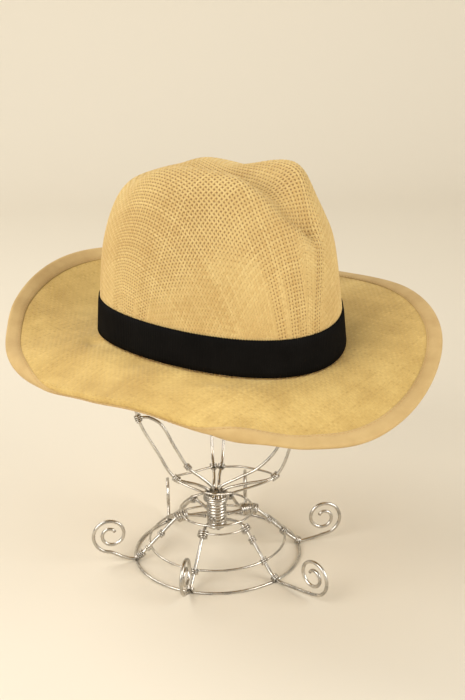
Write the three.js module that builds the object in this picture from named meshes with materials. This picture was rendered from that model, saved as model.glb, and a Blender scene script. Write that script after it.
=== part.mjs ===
// A woven paper fedora with a black ribbon, standing on a bent wire hat stand.
// Millimetres, +Z up. The front of the hat is -Y, and the floor under the stand is Z = 0.
import * as THREE from "three";
import { ParametricGeometry } from "three/addons/geometries/ParametricGeometry.js";
import { mergeVertices } from "three/addons/utils/BufferGeometryUtils.js";

// Driving sizes of the hat
const GAP = 0.3;
const HAT = { x: -7.52, y: 0, height: 190, rollDeg: -2.9 };
const OVAL = { length: 102.2, width: 78.7 }; // half sizes of the crown's outer foot
const CLOTH = { crown: 1.4, brim: 1.5, ribbon: 1.0, tape: 0.7 };
const SADDLE = { lift: 5.1, fadeRows: 3 }; // the foot is higher at the sides than at front and back
const BRIM = { width: 70.6, flare: 1.5 };
// The near edge is rolled under: the fold lies some way in from the brim's width, and a strip of cloth
// goes on under it. Each starts, is full, fades and ends at four angles round the hat.
const FOLD = { bendDeg: 172, curl: 8 };
const FOLD_INSET = { most: 17, at: [222, 270, 290, 328] };
const FOLD_STRIP = { most: 15.4, at: [220, 264, 297, 336] };
const RIBBON = { foot: 0.02, top: 0.9 }; // in rows of the crown's table
const TAPE_DEPTH = 10.4;
const STRIP_BENDS = [4.2, FOLD_STRIP.most - FOLD.curl]; // from the edge, where its facets bend
const BRIM_PLACES = [0.5, 0.22]; // shares of the brim's width where its facets bend
const AROUND = 44; // facets round the hat
const CROWN_STEPS = 15; // facets up the crown
const STEP = 0.002; // for slopes, in radians and in shares of a surface
const FINE = 200; // steps for finding a place along a curve
const LEAST_BEND = 1e-4; // radians, so that a strip that isn't bent has a radius
const WELD = 1e-3; // corners closer than this are one

// The crown without its dents: each row is a height, with the share of the foot oval that the
// wall keeps there at the front, at the sides and at the back.
const CROWN_ROWS = [
  { height: 0, front: 1.0, side: 1.0, back: 1.0 },
  { height: 30.5, front: 0.995, side: 0.949, back: 0.97 },
  { height: 61, front: 0.984, side: 0.89, back: 0.929 },
  { height: 81.5, front: 0.966, side: 0.827, back: 0.866 },
  { height: 96.5, front: 0.92, side: 0.752, back: 0.8 },
  { height: 110, front: 0.862, side: 0.692, back: 0.71 },
  { height: 120.3, front: 0.825, side: 0.641, back: 0.63 },
  { height: 129.3, front: 0.793, side: 0.576, back: 0.517 },
  { height: 136.8, front: 0.742, side: 0.487, back: 0.407 },
  { height: 141.8, front: 0.645, side: 0.371, back: 0.305 },
  { height: 144.8, front: 0.531, side: 0.254, back: 0.194 },
  { height: 146.8, front: 0.366, side: 0.133, back: 0.086 },
  { height: 147.5, front: 0, side: 0, back: 0 },
];

// The long crease pressed into the top, from the front tip to the back.
const CREASE_ROWS = [
  { y: -102, depth: 0, halfWidth: 5, middle: 0 },
  { y: -90, depth: 22, halfWidth: 9, middle: 0 },
  { y: -75, depth: 26.5, halfWidth: 15, middle: -6.5 },
  { y: -50, depth: 27, halfWidth: 18, middle: -5 },
  { y: -10, depth: 30, halfWidth: 20, middle: -7 },
  { y: 25, depth: 25.5, halfWidth: 25.5, middle: -8 },
  { y: 50, depth: 18, halfWidth: 30, middle: -7 },
  { y: 75, depth: 0, halfWidth: 19, middle: 0 },
];
const DENT_HEIGHTS = { none: 62, full: 128 }; // the wall below stays as it is
const SLUMP = { x: 31.6, y: -4, depth: 20, across: 25, along: 42 }; // the left ridge has sunk a little

// Height of the brim's edge round the hat, from the front (0) by the hat's left (90).
const EDGE_ROWS = [
  { angle: 0, lift: -22.2 },
  { angle: 30, lift: -0.1 },
  { angle: 60, lift: 7.8 },
  { angle: 90, lift: 0.6 },
  { angle: 120, lift: -3.5 },
  { angle: 150, lift: 15.6 },
  { angle: 180, lift: 24.7 },
  { angle: 210, lift: 12.9 },
  { angle: 225, lift: 0.6 },
  { angle: 240, lift: -2.8 },
  { angle: 255, lift: -11.2 },
  { angle: 270, lift: -6.7 },
  { angle: 285, lift: -1.7 },
  { angle: 300, lift: -8.2 },
  { angle: 315, lift: -9.1 },
  { angle: 330, lift: -22.2 },
  { angle: 345, lift: -27.8 },
];

// Driving sizes of the stand
const STAND = { x: -11.22, y: 3.9 };
const WIRE = { leg: 1.35, arm: 1.2, tie: 0.9, base: 1.05, sides: 6, baseSides: 8 };
const BENDS = { leg: 33, longArm: 17, shortArm: 10, topRing: 18, arcDeg: 15, bowl: 24 }; // facets along a wire
const POST = { radius: 8, low: 22, high: 52, turns: 8, groove: 1.1, sides: 10 };
const HUB = { radius: 29, height: 36, seamsDeg: [174, 354] };
const SHOULDER = { clear: 0.7, dip: 3, inside: 4, outside: 3, fall: 1.5 }; // a leg's bend over the hub
const FOOT = { radius: 66, height: 2.75 };
const MID_RADIUS = 54;
const SCROLL = { outer: 15.5, inner: 4, turns: 1.65, stepsPerTurn: 14 };
const TOP_RING = 15;
const SEAT_REACH = 30; // the crown is looked at this far round the top ring

// The six legs: the way each one points, how far out its scroll stands, how far the scroll is turned
// from the leg's own way, and how high it is held over the floor.
const LEGS = [
  { angle: 144, reach: 85, turn: 0, rise: 8 },
  { angle: 205, reach: 76, turn: 5, rise: 4 },
  { angle: 266, reach: 106, turn: 0, rise: 4 },
  { angle: 323, reach: 87, turn: 0, rise: 4 },
  { angle: 23, reach: 78, turn: 18, rise: 4 },
  { angle: 82, reach: 76, turn: -36, rise: 4 },
];

// The arms: each leaves the post one way and stands another way further up. Long ones rise into the
// crown. A short one stands over two of them and bends out to meet the long one under the brim.
const LONG_ARMS = [
  { atPost: 136, above: 136, side: "left" },
  { atPost: 62, above: 48, side: "left" },
  { atPost: 22, above: 34, side: "left" },
  { atPost: 310, above: 310, side: "right" },
];
const SHORT_ARMS = [LONG_ARMS[0], LONG_ARMS[3]];
const ARM_TURNS = { from: 54, to: 62 }; // heights between which an arm turns from one way to the other
// Distances from the post's axis at each height, for the arms on either side.
const LONG_ROUTE = [
  { left: 5.5, right: 5.5, z: 52.5 },
  { left: 6.5, right: 6.8, z: 56 },
  { left: 15, right: 22, z: 60.5 },
  { left: 32, right: 46, z: 67 },
  { left: 44, right: 57, z: 88 },
  { left: 59, right: 62, z: 120 },
  { left: 62, right: 62, z: 155 },
  { left: 62, right: 62, z: 195 },
  { left: 57, right: 57, z: 238 },
  { left: 45, right: 45, z: 268 },
];
const SHORT_ROUTE = [
  { left: 2.6, right: 2.6, z: 52.5 },
  { left: 3.2, right: 3.6, z: 58 },
  { left: 11, right: 18, z: 66 },
  { left: 21, right: 34, z: 75 },
  { left: 31, right: 49, z: 93 },
  { left: 41, right: 52, z: 113 },
  { left: 50, right: 55, z: 119.6 },
];
const TIE_CLEAR = 1.4; // a tie stops this many wire radii from an arm's middle, and a gap
const SHORT_END = 120; // height at which a short arm meets its long one
// The bowl's ring is tied to the arms, and dips to the post in front.
const BOWL = [
  { angle: 34, r: 24, z: 64 },
  { angle: 48, r: 24, z: 64 },
  { angle: 92, r: 22, z: 64.5 },
  { angle: 136, r: 32, z: 67 },
  { angle: 180, r: 18, z: 61 },
  { angle: 223, r: 11, z: 57 },
  { angle: 266, r: 20, z: 60 },
  { angle: 310, r: 46, z: 67 },
  { angle: 352, r: 31, z: 65 },
];

const straw = new THREE.MeshStandardMaterial({ color: 0xdcb974, roughness: 0.75, metalness: 0 });
const tape = new THREE.MeshStandardMaterial({ color: 0xd4b376, roughness: 0.85, metalness: 0 });
const ribbon = new THREE.MeshStandardMaterial({ color: 0x1d1a16, roughness: 0.8, metalness: 0 });
const wire = new THREE.MeshStandardMaterial({ color: 0xbdbdb8, roughness: 0.35, metalness: 1 });

const radians = THREE.MathUtils.degToRad;

function mesh(name, geometry, material) {
  const made = new THREE.Mesh(geometry, material);
  made.name = name;
  return made;
}

// A smooth curve through the rows of a table, read at any place along its key column.
function readTable(rows, key, column, at) {
  const last = rows.length - 1;
  let i = rows.findIndex((row) => row[key] > at) - 1;
  if (i === -2) i = last - 1;
  i = THREE.MathUtils.clamp(i, 0, last - 1);
  const slope = (n) => {
    const a = rows[Math.max(n - 1, 0)];
    const b = rows[Math.min(n + 1, last)];
    return (b[column] - a[column]) / (b[key] - a[key]);
  };
  const span = rows[i + 1][key] - rows[i][key];
  const s = THREE.MathUtils.clamp((at - rows[i][key]) / span, 0, 1);
  const s2 = s * s;
  const s3 = s2 * s;
  const start = rows[i][column] * (2 * s3 - 3 * s2 + 1) + slope(i) * span * (s3 - 2 * s2 + s);
  const end = rows[i + 1][column] * (3 * s2 - 2 * s3) + slope(i + 1) * span * (s3 - s2);
  return start + end;
}

const crownRows = CROWN_ROWS.map((row, index) => ({ ...row, row: index }));
const edgeRows = [-360, 0, 360].flatMap((turn) =>
  EDGE_ROWS.map((row) => ({ ...row, angle: row.angle + turn })),
);

function dents(x, y, height) {
  const { none, full } = DENT_HEIGHTS;
  const depth = Math.max(readTable(CREASE_ROWS, "y", "depth", y), 0);
  const middle = readTable(CREASE_ROWS, "y", "middle", y);
  const across = (x - middle) / readTable(CREASE_ROWS, "y", "halfWidth", y);
  const slump = ((x - SLUMP.x) / SLUMP.across) ** 2 + ((y - SLUMP.y) / SLUMP.along) ** 2;
  const pressed = depth * Math.exp(-across * across) + SLUMP.depth * Math.exp(-slump);
  return pressed * THREE.MathUtils.smoothstep(height, none, full);
}

function saddle(angle) {
  return -SADDLE.lift * Math.cos(2 * angle);
}

// Outer face of the crown at an angle round the hat and a place along the table's rows.
function crownPoint(angle, row) {
  const lean = Math.cos(angle) > 0 ? "front" : "back";
  const height = readTable(crownRows, "row", "height", row);
  const x = OVAL.width * readTable(crownRows, "row", "side", row) * Math.sin(angle);
  const y = -OVAL.length * readTable(crownRows, "row", lean, row) * Math.cos(angle);
  const foot = saddle(angle) * (1 - THREE.MathUtils.smoothstep(row, 0, SADDLE.fadeRows));
  return new THREE.Vector3(x, y, height + foot - dents(x, y, height));
}

// Middle of the brim's cloth before its edge rolls under: out is 0 at the crown, 1 at the edge.
function brimSpread(angle, out) {
  const edge = readTable(edgeRows, "angle", "lift", THREE.MathUtils.radToDeg(angle));
  const foot = saddle(angle) - CLOTH.brim / 2 - GAP;
  const share = Math.sign(out) * Math.abs(out) ** BRIM.flare;
  const x = (OVAL.width + BRIM.width * out) * Math.sin(angle);
  const y = -(OVAL.length + BRIM.width * out) * Math.cos(angle);
  return new THREE.Vector3(x, y, THREE.MathUtils.lerp(foot, edge, share));
}

function hill(angle, { most, at }) {
  const turn = THREE.MathUtils.radToDeg(angle);
  const [from, full, fade, to] = at;
  const rise = THREE.MathUtils.smoothstep(turn, from, full);
  return most * rise * (1 - THREE.MathUtils.smoothstep(turn, fade, to));
}

function foldOut(angle) {
  return 1 - hill(angle, FOLD_INSET) / BRIM.width;
}

// The cloth's own edge, and places that lie a depth in from it.
function fromEdge(angle, depth) {
  return foldOut(angle) + (hill(angle, FOLD_STRIP) - depth) / BRIM.width;
}

// The brim's cloth goes on straight as far as the fold, and turns down and under past it.
function brimPoint(angle, out) {
  const start = foldOut(angle);
  if (out <= start) return brimSpread(angle, out);
  const outward = brimSpread(angle, start + STEP).sub(brimSpread(angle, start - STEP)).normalize();
  const round = brimSpread(angle + STEP, start).sub(brimSpread(angle - STEP, start));
  const up = outward.clone().cross(round).normalize();
  const strip = (out - start) * BRIM.width;
  const curled = Math.min(strip, FOLD.curl);
  const share = hill(angle, FOLD_STRIP) / FOLD_STRIP.most;
  const radius = FOLD.curl / Math.max(radians(FOLD.bendDeg) * share, LEAST_BEND);
  const turn = curled / radius;
  const reach = radius * Math.sin(turn) + (strip - curled) * Math.cos(turn);
  const drop = radius * (1 - Math.cos(turn)) + (strip - curled) * Math.sin(turn);
  return brimSpread(angle, start).addScaledVector(outward, reach).addScaledVector(up, -drop);
}

// A point set off from a surface along its normal, which points out of the hat or down.
function offset(surface, angle, along, distance) {
  const round = surface(angle + STEP, along).sub(surface(angle - STEP, along));
  const onward = surface(angle, along + STEP).sub(surface(angle, along - STEP));
  const normal = round.cross(onward).normalize();
  return surface(angle, along).addScaledVector(normal, distance);
}

// Joins the seam and the poles of a swept surface and drops the faces that they flatten.
function weld(geometry) {
  geometry.deleteAttribute("normal");
  geometry.deleteAttribute("uv");
  const joined = mergeVertices(geometry, WELD);
  const index = [];
  for (let i = 0; i < joined.index.count; i += 3) {
    const face = [0, 1, 2].map((k) => joined.index.getX(i + k));
    if (new Set(face).size === 3) index.push(...face);
  }
  joined.setIndex(index);
  joined.computeVertexNormals();
  return joined;
}

// Splits each four-sided facet along its shorter diagonal, so that layers over it bend alike.
function shorterDiagonals(geometry) {
  const place = geometry.getAttribute("position");
  const corner = (n) => new THREE.Vector3().fromBufferAttribute(place, n);
  const span = (n, m) => corner(n).distanceTo(corner(m));
  const index = [];
  for (let i = 0; i < geometry.index.count; i += 6) {
    const [a, b, d, , c] = [0, 1, 2, 3, 4].map((k) => geometry.index.getX(i + k));
    if (span(a, c) < span(b, d)) index.push(a, b, c, a, c, d);
    else index.push(a, b, d, b, c, d);
  }
  geometry.setIndex(index);
  return geometry;
}

// A surface swept once round the hat: section gives the point at an angle for each step.
function sweptRound(section, steps) {
  const place = (u, v, target) => {
    const angle = 2 * Math.PI * (u === 1 ? 0 : u);
    target.copy(section(angle, Math.round(v * steps)));
  };
  return new ParametricGeometry(place, AROUND, steps);
}

// Turns each face of a surface over, so that one drawn backwards still faces out.
function turnedOver(geometry) {
  const index = geometry.getIndex();
  for (let n = 0; n < index.count; n += 3) {
    const corner = index.getX(n);
    index.setX(n, index.getX(n + 1));
    index.setX(n + 1, corner);
  }
  return geometry;
}

// The crown's wall: down the inside from the top to the foot, and back up the outside.
function crownShell() {
  const rows = CROWN_STEPS;
  const last = crownRows.length - 1;
  const top = CROWN_ROWS[last].height - dents(0, 0, CROWN_ROWS[last].height);
  const inside = (angle, n) => {
    if (n === 0) return new THREE.Vector3(0, 0, top - CLOTH.crown);
    return offset(crownPoint, angle, (last * (rows - n)) / rows, -CLOTH.crown);
  };
  const outside = (angle, n) => {
    if (n === rows) return new THREE.Vector3(0, 0, top);
    return crownPoint(angle, (last * n) / rows);
  };
  const section = (angle, n) => (n <= rows ? inside(angle, n) : outside(angle, n - rows - 1));
  return weld(shorterDiagonals(sweptRound(section, 2 * rows + 1)));
}

// A wall between two offsets of a surface, as a closed loop of places along it and back. A place
// is a function of the angle round the hat.
function bentWall(surface, places, low, high) {
  const count = places.length;
  const section = (angle, n) => {
    const step = n % (2 * count);
    if (step < count) return offset(surface, angle, places[step](angle), high);
    return offset(surface, angle, places[2 * count - 1 - step](angle), low);
  };
  return sweptRound(section, 2 * count);
}

// The brim and its tape keep the surface's own diagonals, so that the tape bends as the brim does.
function brimWall() {
  const half = CLOTH.brim / 2;
  const inner = -CLOTH.crown / BRIM.width;
  const curlMiddle = (FOLD_STRIP.most + TAPE_DEPTH) / 2;
  const strip = [0, ...STRIP_BENDS, TAPE_DEPTH, curlMiddle, FOLD_STRIP.most];
  const places = [
    ...strip.map((depth) => (angle) => -fromEdge(angle, depth)),
    ...[...BRIM_PLACES, inner].map((out) => () => -out),
  ];
  const inward = (angle, along) => brimPoint(angle, -along);
  return weld(bentWall(inward, places, -half, half));
}

function ribbonWall() {
  const { foot, top } = RIBBON;
  const rows = [foot, (foot + top) / 2, top].map((row) => () => row);
  return weld(shorterDiagonals(bentWall(crownPoint, rows, GAP, GAP + CLOTH.ribbon)));
}

// The tape is folded over the brim's edge, so its section is a narrow U lying on its side.
function edgeTape() {
  const inner = CLOTH.brim / 2 + GAP;
  const outer = inner + CLOTH.tape;
  const nose = GAP + CLOTH.tape;
  const depths = [TAPE_DEPTH, ...[...STRIP_BENDS].reverse(), 0];
  const under = depths.map((depth) => ({ depth, up: -outer }));
  const over = [...depths].reverse().map((depth) => ({ depth, up: outer }));
  const inside = [...depths.slice(0, -1), -GAP];
  const corners = [
    ...under,
    { depth: -nose, up: -inner / 2 },
    { depth: -nose, up: inner / 2 },
    ...over,
    ...inside.map((depth) => ({ depth, up: inner })),
    ...[...inside].reverse().map((depth) => ({ depth, up: -inner })),
  ];
  const section = (angle, n) => {
    const { depth, up } = corners[(corners.length - n) % corners.length];
    return offset(brimPoint, angle, fromEdge(angle, depth), -up);
  };
  return weld(turnedOver(sweptRound(section, corners.length)));
}

// A round wire's section, turned so that two of its sides lie level.
function wireSection(radius, sides = WIRE.sides) {
  const corners = [];
  for (let n = 0; n < sides; n += 1) {
    const turn = (2 * Math.PI * (n + 0.5)) / sides;
    corners.push(new THREE.Vector2(radius * Math.cos(turn), radius * Math.sin(turn)));
  }
  return new THREE.Shape(corners);
}

function bentWire(points, radius, steps, sides) {
  const path = new THREE.CatmullRomCurve3(points);
  const options = { extrudePath: path, steps, bevelEnabled: false };
  return new THREE.ExtrudeGeometry(wireSection(radius, sides), options);
}

// A place in the stand's frame, by its distance from the axis and its angle.
function polar(r, angleDeg, z) {
  const turn = radians(angleDeg);
  return new THREE.Vector3(r * Math.cos(turn), r * Math.sin(turn), z);
}

function arcWire(r, z, fromDeg, toDeg, radius, sides) {
  const pieces = Math.ceil((toDeg - fromDeg) / BENDS.arcDeg);
  const points = [];
  for (let n = 0; n <= pieces; n += 1) {
    points.push(polar(r, THREE.MathUtils.lerp(fromDeg, toDeg, n / pieces), z));
  }
  return bentWire(points, radius, pieces, sides);
}

// From the post out over the hub and down to the foot, then along the floor and up into the scroll.
function legRoute({ angle, reach, turn, rise }) {
  const floor = WIRE.leg + 2 * GAP;
  const centre = SCROLL.outer + floor + rise;
  const leg = [
    { r: POST.radius + SHOULDER.clear, z: HUB.height - SHOULDER.dip },
    { r: HUB.radius - SHOULDER.inside, z: HUB.height },
    { r: HUB.radius + SHOULDER.outside, z: HUB.height - SHOULDER.fall },
    { r: (HUB.radius + FOOT.radius) / 2, z: (HUB.height + FOOT.height) / 2 },
    { r: FOOT.radius, z: FOOT.height },
  ];
  const out = reach - FOOT.radius;
  const end = [{ r: out / 2, z: floor + rise / 3 }];
  const count = Math.round(SCROLL.turns * SCROLL.stepsPerTurn);
  for (let n = 0; n <= count; n += 1) {
    const share = n / count;
    const round = 2 * Math.PI * (SCROLL.turns * share - 0.25);
    const curl = THREE.MathUtils.lerp(SCROLL.outer, SCROLL.inner, share);
    end.push({ r: out + curl * Math.cos(round), z: centre + curl * Math.sin(round) });
  }
  const foot = polar(FOOT.radius, angle, 0);
  return [
    ...leg.map(({ r, z }) => polar(r, angle, z)),
    ...end.map(({ r, z }) => polar(r, angle + turn, z).add(foot)),
  ];
}

// An arm's way at a height.
function armAngle({ atPost, above }, z) {
  return THREE.MathUtils.lerp(atPost, above, THREE.MathUtils.smoothstep(z, ARM_TURNS.from, ARM_TURNS.to));
}

function armRoute(arm, rows) {
  return rows.map((row) => polar(row[arm.side], armAngle(arm, row.z), row.z));
}

// The bowl's ring, cut into lengths that stop just clear of the arms.
function bowlTies(group, arms) {
  const ring = new THREE.CatmullRomCurve3(BOWL.map(({ angle, r, z }) => polar(r, angle, z)), true);
  const lines = arms.map((route) => new THREE.CatmullRomCurve3(route).getPoints(FINE)).flat();
  const isClear = (point) => lines.every((spot) => spot.distanceTo(point) >= TIE_CLEAR * WIRE.arm + GAP);
  const seams = BOWL.map(({ angle }, n) => ({ angle, at: n / BOWL.length }))
    .filter(({ angle }) => LONG_ARMS.some((arm) => arm.above === angle));
  seams.forEach(({ at }, n) => {
    const next = n + 1 < seams.length ? seams[n + 1].at : seams[0].at + 1;
    const points = [];
    for (let k = 0; k <= FINE; k += 1) points.push(ring.getPoint(THREE.MathUtils.lerp(at, next, k / FINE) % 1));
    const inside = points.filter(isClear);
    const pieces = Math.max(2, Math.round((next - at) * BENDS.bowl));
    const route = [];
    for (let k = 0; k <= pieces; k += 1) route.push(inside[Math.round((k / pieces) * (inside.length - 1))]);
    group.add(mesh(`bowl_tie_${n + 1}`, bentWire(route, WIRE.tie, pieces), wire));
  });
}

// Arcs of wire between neighbouring uprights, each stopping just clear of them.
function tieArcs(group, name, angles, r, z, radius, clear, sides) {
  const sorted = [...angles].sort((a, b) => a - b);
  sorted.forEach((angle, n) => {
    const next = sorted[n + 1] ?? sorted[0] + 360;
    const stop = THREE.MathUtils.radToDeg((clear + GAP) / r);
    const arc = arcWire(r, z, angle + stop, next - stop, radius, sides);
    group.add(mesh(`${name}_${n + 1}`, arc, wire));
  });
}

// The post is wound with wire, so its side is a row of round turns.
function woundPost() {
  const { radius, low, high, turns, groove } = POST;
  const pitch = (high - low) / turns;
  const profile = [new THREE.Vector2(0, low)];
  for (let n = 0; n < turns; n += 1) {
    profile.push(new THREE.Vector2(radius - groove, low + pitch * n));
    profile.push(new THREE.Vector2(radius, low + pitch * (n + 0.5)));
  }
  profile.push(new THREE.Vector2(radius - groove, high), new THREE.Vector2(0, high));
  return weld(new THREE.LatheGeometry(profile, POST.sides).rotateX(Math.PI / 2));
}

const hat = new THREE.Group();
hat.position.set(HAT.x, HAT.y, HAT.height);
hat.rotation.y = radians(HAT.rollDeg);
const crown = mesh("crown", crownShell(), straw);
hat.add(crown);
hat.add(mesh("brim", brimWall(), straw));
hat.add(mesh("hat_ribbon", ribbonWall(), ribbon));
hat.add(mesh("edge_tape", edgeTape(), tape));

// Height of the crown's lowest inside point over the stand's top ring.
function seatHeight() {
  hat.updateMatrixWorld(true);
  const corners = crown.geometry.getAttribute("position");
  const corner = new THREE.Vector3();
  let lowest = Infinity;
  for (let n = 0; n < corners.count; n += 1) {
    corner.fromBufferAttribute(corners, n).applyMatrix4(crown.matrixWorld);
    const r = Math.hypot(corner.x - STAND.x, corner.y - STAND.y);
    if (r < SEAT_REACH) lowest = Math.min(lowest, corner.z);
  }
  return lowest;
}

const stand = new THREE.Group();
stand.position.set(STAND.x, STAND.y, 0);
const legAngles = LEGS.map((leg) => leg.angle);
LEGS.forEach((leg, n) => {
  stand.add(mesh(`leg_${n + 1}`, bentWire(legRoute(leg), WIRE.leg, BENDS.leg), wire));
});
const baseRise = WIRE.base * Math.cos(Math.PI / WIRE.baseSides);
tieArcs(stand, "base_tie", legAngles, FOOT.radius, baseRise, WIRE.base, WIRE.leg, WIRE.baseSides);
const midShare = (MID_RADIUS - HUB.radius) / (FOOT.radius - HUB.radius);
const midHeight = THREE.MathUtils.lerp(HUB.height, FOOT.height, midShare);
tieArcs(stand, "mid_tie", legAngles, MID_RADIUS, midHeight, WIRE.tie, WIRE.leg);
const hubRise = HUB.height + WIRE.leg + GAP + WIRE.tie;
tieArcs(stand, "hub_ring", HUB.seamsDeg, HUB.radius, hubRise, WIRE.tie, 0);
stand.add(mesh("post", woundPost(), wire));

const topHeight = seatHeight() - GAP - WIRE.arm;
const topRing = new THREE.TorusGeometry(TOP_RING, WIRE.arm, WIRE.sides, BENDS.topRing);
stand.add(mesh("top_ring", topRing.translate(0, 0, topHeight), wire));
const topEnd = TOP_RING + WIRE.arm + 2 * GAP;
const longRoute = [...LONG_ROUTE, { left: topEnd, right: topEnd, z: topHeight }];
LONG_ARMS.forEach((arm, n) => {
  stand.add(mesh(`long_arm_${n + 1}`, bentWire(armRoute(arm, longRoute), WIRE.arm, BENDS.longArm), wire));
});
// A short arm ends just clear of the long one, which is near upright there.
const meet = LONG_ROUTE.find(({ z }) => z === SHORT_END);
const clearOfLong = 1.5 * WIRE.arm + GAP;
const shortEnd = { left: meet.left - clearOfLong, right: meet.right - clearOfLong, z: SHORT_END };
SHORT_ARMS.forEach((arm, n) => {
  const route = armRoute(arm, [...SHORT_ROUTE, shortEnd]);
  stand.add(mesh(`short_arm_${n + 1}`, bentWire(route, WIRE.arm, BENDS.shortArm), wire));
});
bowlTies(stand, LONG_ARMS.map((arm) => armRoute(arm, longRoute)));

const hatOnStand = new THREE.Group();
hatOnStand.add(hat, stand);

export default hatOnStand;
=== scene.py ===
# %% [markdown]
# A woven paper hat on a bent wire stand
#
# The hat is a fedora of straw-coloured paper yarn. Its crown is one open woven cloth that was pressed
# over a block, its brim is a closer cloth, and a black ribbon and a folded tape finish them. The stand is
# bent from bare wire. This lesson dresses the plain frame of the hat: the frame gives the sizes, and each
# step below makes one piece of it with the detail of the real one.

# %% Load the frame
import math

import bmesh
import bpy
import numpy as np
from mathutils import Matrix, Vector


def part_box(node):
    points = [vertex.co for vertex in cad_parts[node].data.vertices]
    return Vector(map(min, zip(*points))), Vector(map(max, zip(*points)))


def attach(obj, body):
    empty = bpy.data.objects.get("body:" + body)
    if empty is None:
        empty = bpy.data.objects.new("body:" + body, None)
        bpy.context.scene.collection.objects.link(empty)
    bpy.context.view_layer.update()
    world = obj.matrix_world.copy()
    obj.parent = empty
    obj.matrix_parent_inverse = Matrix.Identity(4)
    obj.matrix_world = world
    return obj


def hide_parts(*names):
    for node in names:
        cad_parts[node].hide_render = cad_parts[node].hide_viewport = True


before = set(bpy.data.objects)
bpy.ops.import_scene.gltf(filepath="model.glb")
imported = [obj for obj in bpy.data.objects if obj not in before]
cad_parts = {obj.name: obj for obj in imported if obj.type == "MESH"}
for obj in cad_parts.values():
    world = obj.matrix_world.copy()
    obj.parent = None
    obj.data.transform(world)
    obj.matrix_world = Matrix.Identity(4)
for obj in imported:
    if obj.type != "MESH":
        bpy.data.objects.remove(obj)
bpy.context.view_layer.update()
MM = 0.001

# %% [markdown]
# The camera
#
# The picture was taken from above the hat's front right, with a plain lens. The camera's place and turn are
# written in the hat's own frame, so every later step can be judged from the same view.

# %% Place the camera
EYE = (-0.67402, -0.6435, 0.5247)
EYE_TURN = math.radians(-46.61)
EYE_DOWN = math.radians(20.78)
EYE_ROLL = math.radians(-1.15)
PICTURE_TALL_ANGLE = math.radians(30)

camera = bpy.data.objects.new("camera", bpy.data.cameras.new("camera"))
bpy.context.scene.collection.objects.link(camera)
camera.data.sensor_fit = "VERTICAL"
camera.data.angle = PICTURE_TALL_ANGLE
look = Matrix.Rotation(EYE_TURN, 4, "Z") @ Matrix.Rotation(math.pi / 2 - EYE_DOWN, 4, "X")
camera.matrix_world = Matrix.Translation(EYE) @ look @ Matrix.Rotation(EYE_ROLL, 4, "Z")
bpy.context.scene.camera = camera
print("camera at", EYE)

# %% [markdown]
# The hat's shape
#
# A hat has no straight lines, so its surfaces are read from short tables and smoothed between their rows.
# Both the crown and the brim are functions of an angle round the hat, 0 at the front and 90 at the wearer's
# left, and of a place up the crown or out along the brim. They work on whole arrays in millimetres.


# %% Smooth curves through a table
def smooth_table(keys, values, at):
    """A smooth curve through the rows of a table, read at any place along its key column."""
    last = len(keys) - 1
    before = np.maximum(np.arange(last + 1) - 1, 0)
    after = np.minimum(np.arange(last + 1) + 1, last)
    slopes = (values[after] - values[before]) / (keys[after] - keys[before])
    row = np.clip(np.searchsorted(keys, at, side="right") - 1, 0, last - 1)
    span = keys[row + 1] - keys[row]
    s = np.clip((at - keys[row]) / span, 0, 1)
    start = values[row] * (2 * s**3 - 3 * s**2 + 1) + slopes[row] * span * (s**3 - 2 * s**2 + s)
    end = values[row + 1] * (3 * s**2 - 2 * s**3) + slopes[row + 1] * span * (s**3 - s**2)
    return start + end


def smooth_step(at, low, high):
    s = np.clip((at - low) / (high - low), 0, 1)
    return s * s * (3 - 2 * s)


print("half of a smooth step:", float(smooth_step(0.5, 0, 1)))

# %% [markdown]
# The crown
#
# The crown is a stack of ovals that shrink upwards, with a long crease and one sunken ridge pressed into
# it. It could be sculpted, but the weave will ask for thousands of points on it, and a function can give
# any point. The foot of the crown is lifted at the sides and lowered at the ends, as a head's shape asks.

# %% Tables of the crown
OVAL = {"length": 102.2, "width": 78.7}
SADDLE = {"lift": 5.1, "fade_rows": 3}
# Columns: height, then the share of the foot oval that is left at the front, the sides and the back.
CROWN_ROWS = np.array([
    (0, 1.0, 1.0, 1.0),
    (30.5, 0.995, 0.949, 0.97),
    (61, 0.984, 0.89, 0.929),
    (81.5, 0.966, 0.827, 0.866),
    (96.5, 0.92, 0.752, 0.8),
    (110, 0.862, 0.692, 0.71),
    (120.3, 0.825, 0.641, 0.63),
    (129.3, 0.793, 0.576, 0.517),
    (136.8, 0.742, 0.487, 0.407),
    (141.8, 0.645, 0.371, 0.305),
    (144.8, 0.531, 0.254, 0.194),
    (146.8, 0.366, 0.133, 0.086),
    (147.5, 0, 0, 0),
])
TOP_ROW = len(CROWN_ROWS) - 1

# Columns: place along the hat, depth of the crease there, half of its width, and its middle.
CREASE_ROWS = np.array([
    (-102, 0, 5, 0),
    (-90, 22, 9, 0),
    (-75, 26.5, 15, -6.5),
    (-50, 27, 18, -5),
    (-10, 30, 20, -7),
    (25, 25.5, 25.5, -8),
    (50, 18, 30, -7),
    (75, 0, 19, 0),
])
DENT_HEIGHTS = (62, 128)
SLUMP = {"x": 31.6, "y": -4, "depth": 20, "across": 25, "along": 42}
print("crown:", len(CROWN_ROWS), "rows,", CROWN_ROWS[-1, 0], "mm high before the crease")


# %% Surface of the crown
def crown_column(row, column):
    return smooth_table(np.arange(TOP_ROW + 1.0), CROWN_ROWS[:, column], row)


def dents(x, y, height):
    deep, half_wide, middle = [smooth_table(CREASE_ROWS[:, 0], CREASE_ROWS[:, k], y) for k in (1, 2, 3)]
    depth = np.maximum(deep, 0)
    across = (x - middle) / half_wide
    slump = ((x - SLUMP["x"]) / SLUMP["across"]) ** 2 + ((y - SLUMP["y"]) / SLUMP["along"]) ** 2
    pressed = depth * np.exp(-across * across) + SLUMP["depth"] * np.exp(-slump)
    return pressed * smooth_step(height, *DENT_HEIGHTS)


def saddle(angle):
    return -SADDLE["lift"] * np.cos(2 * angle)


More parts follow.
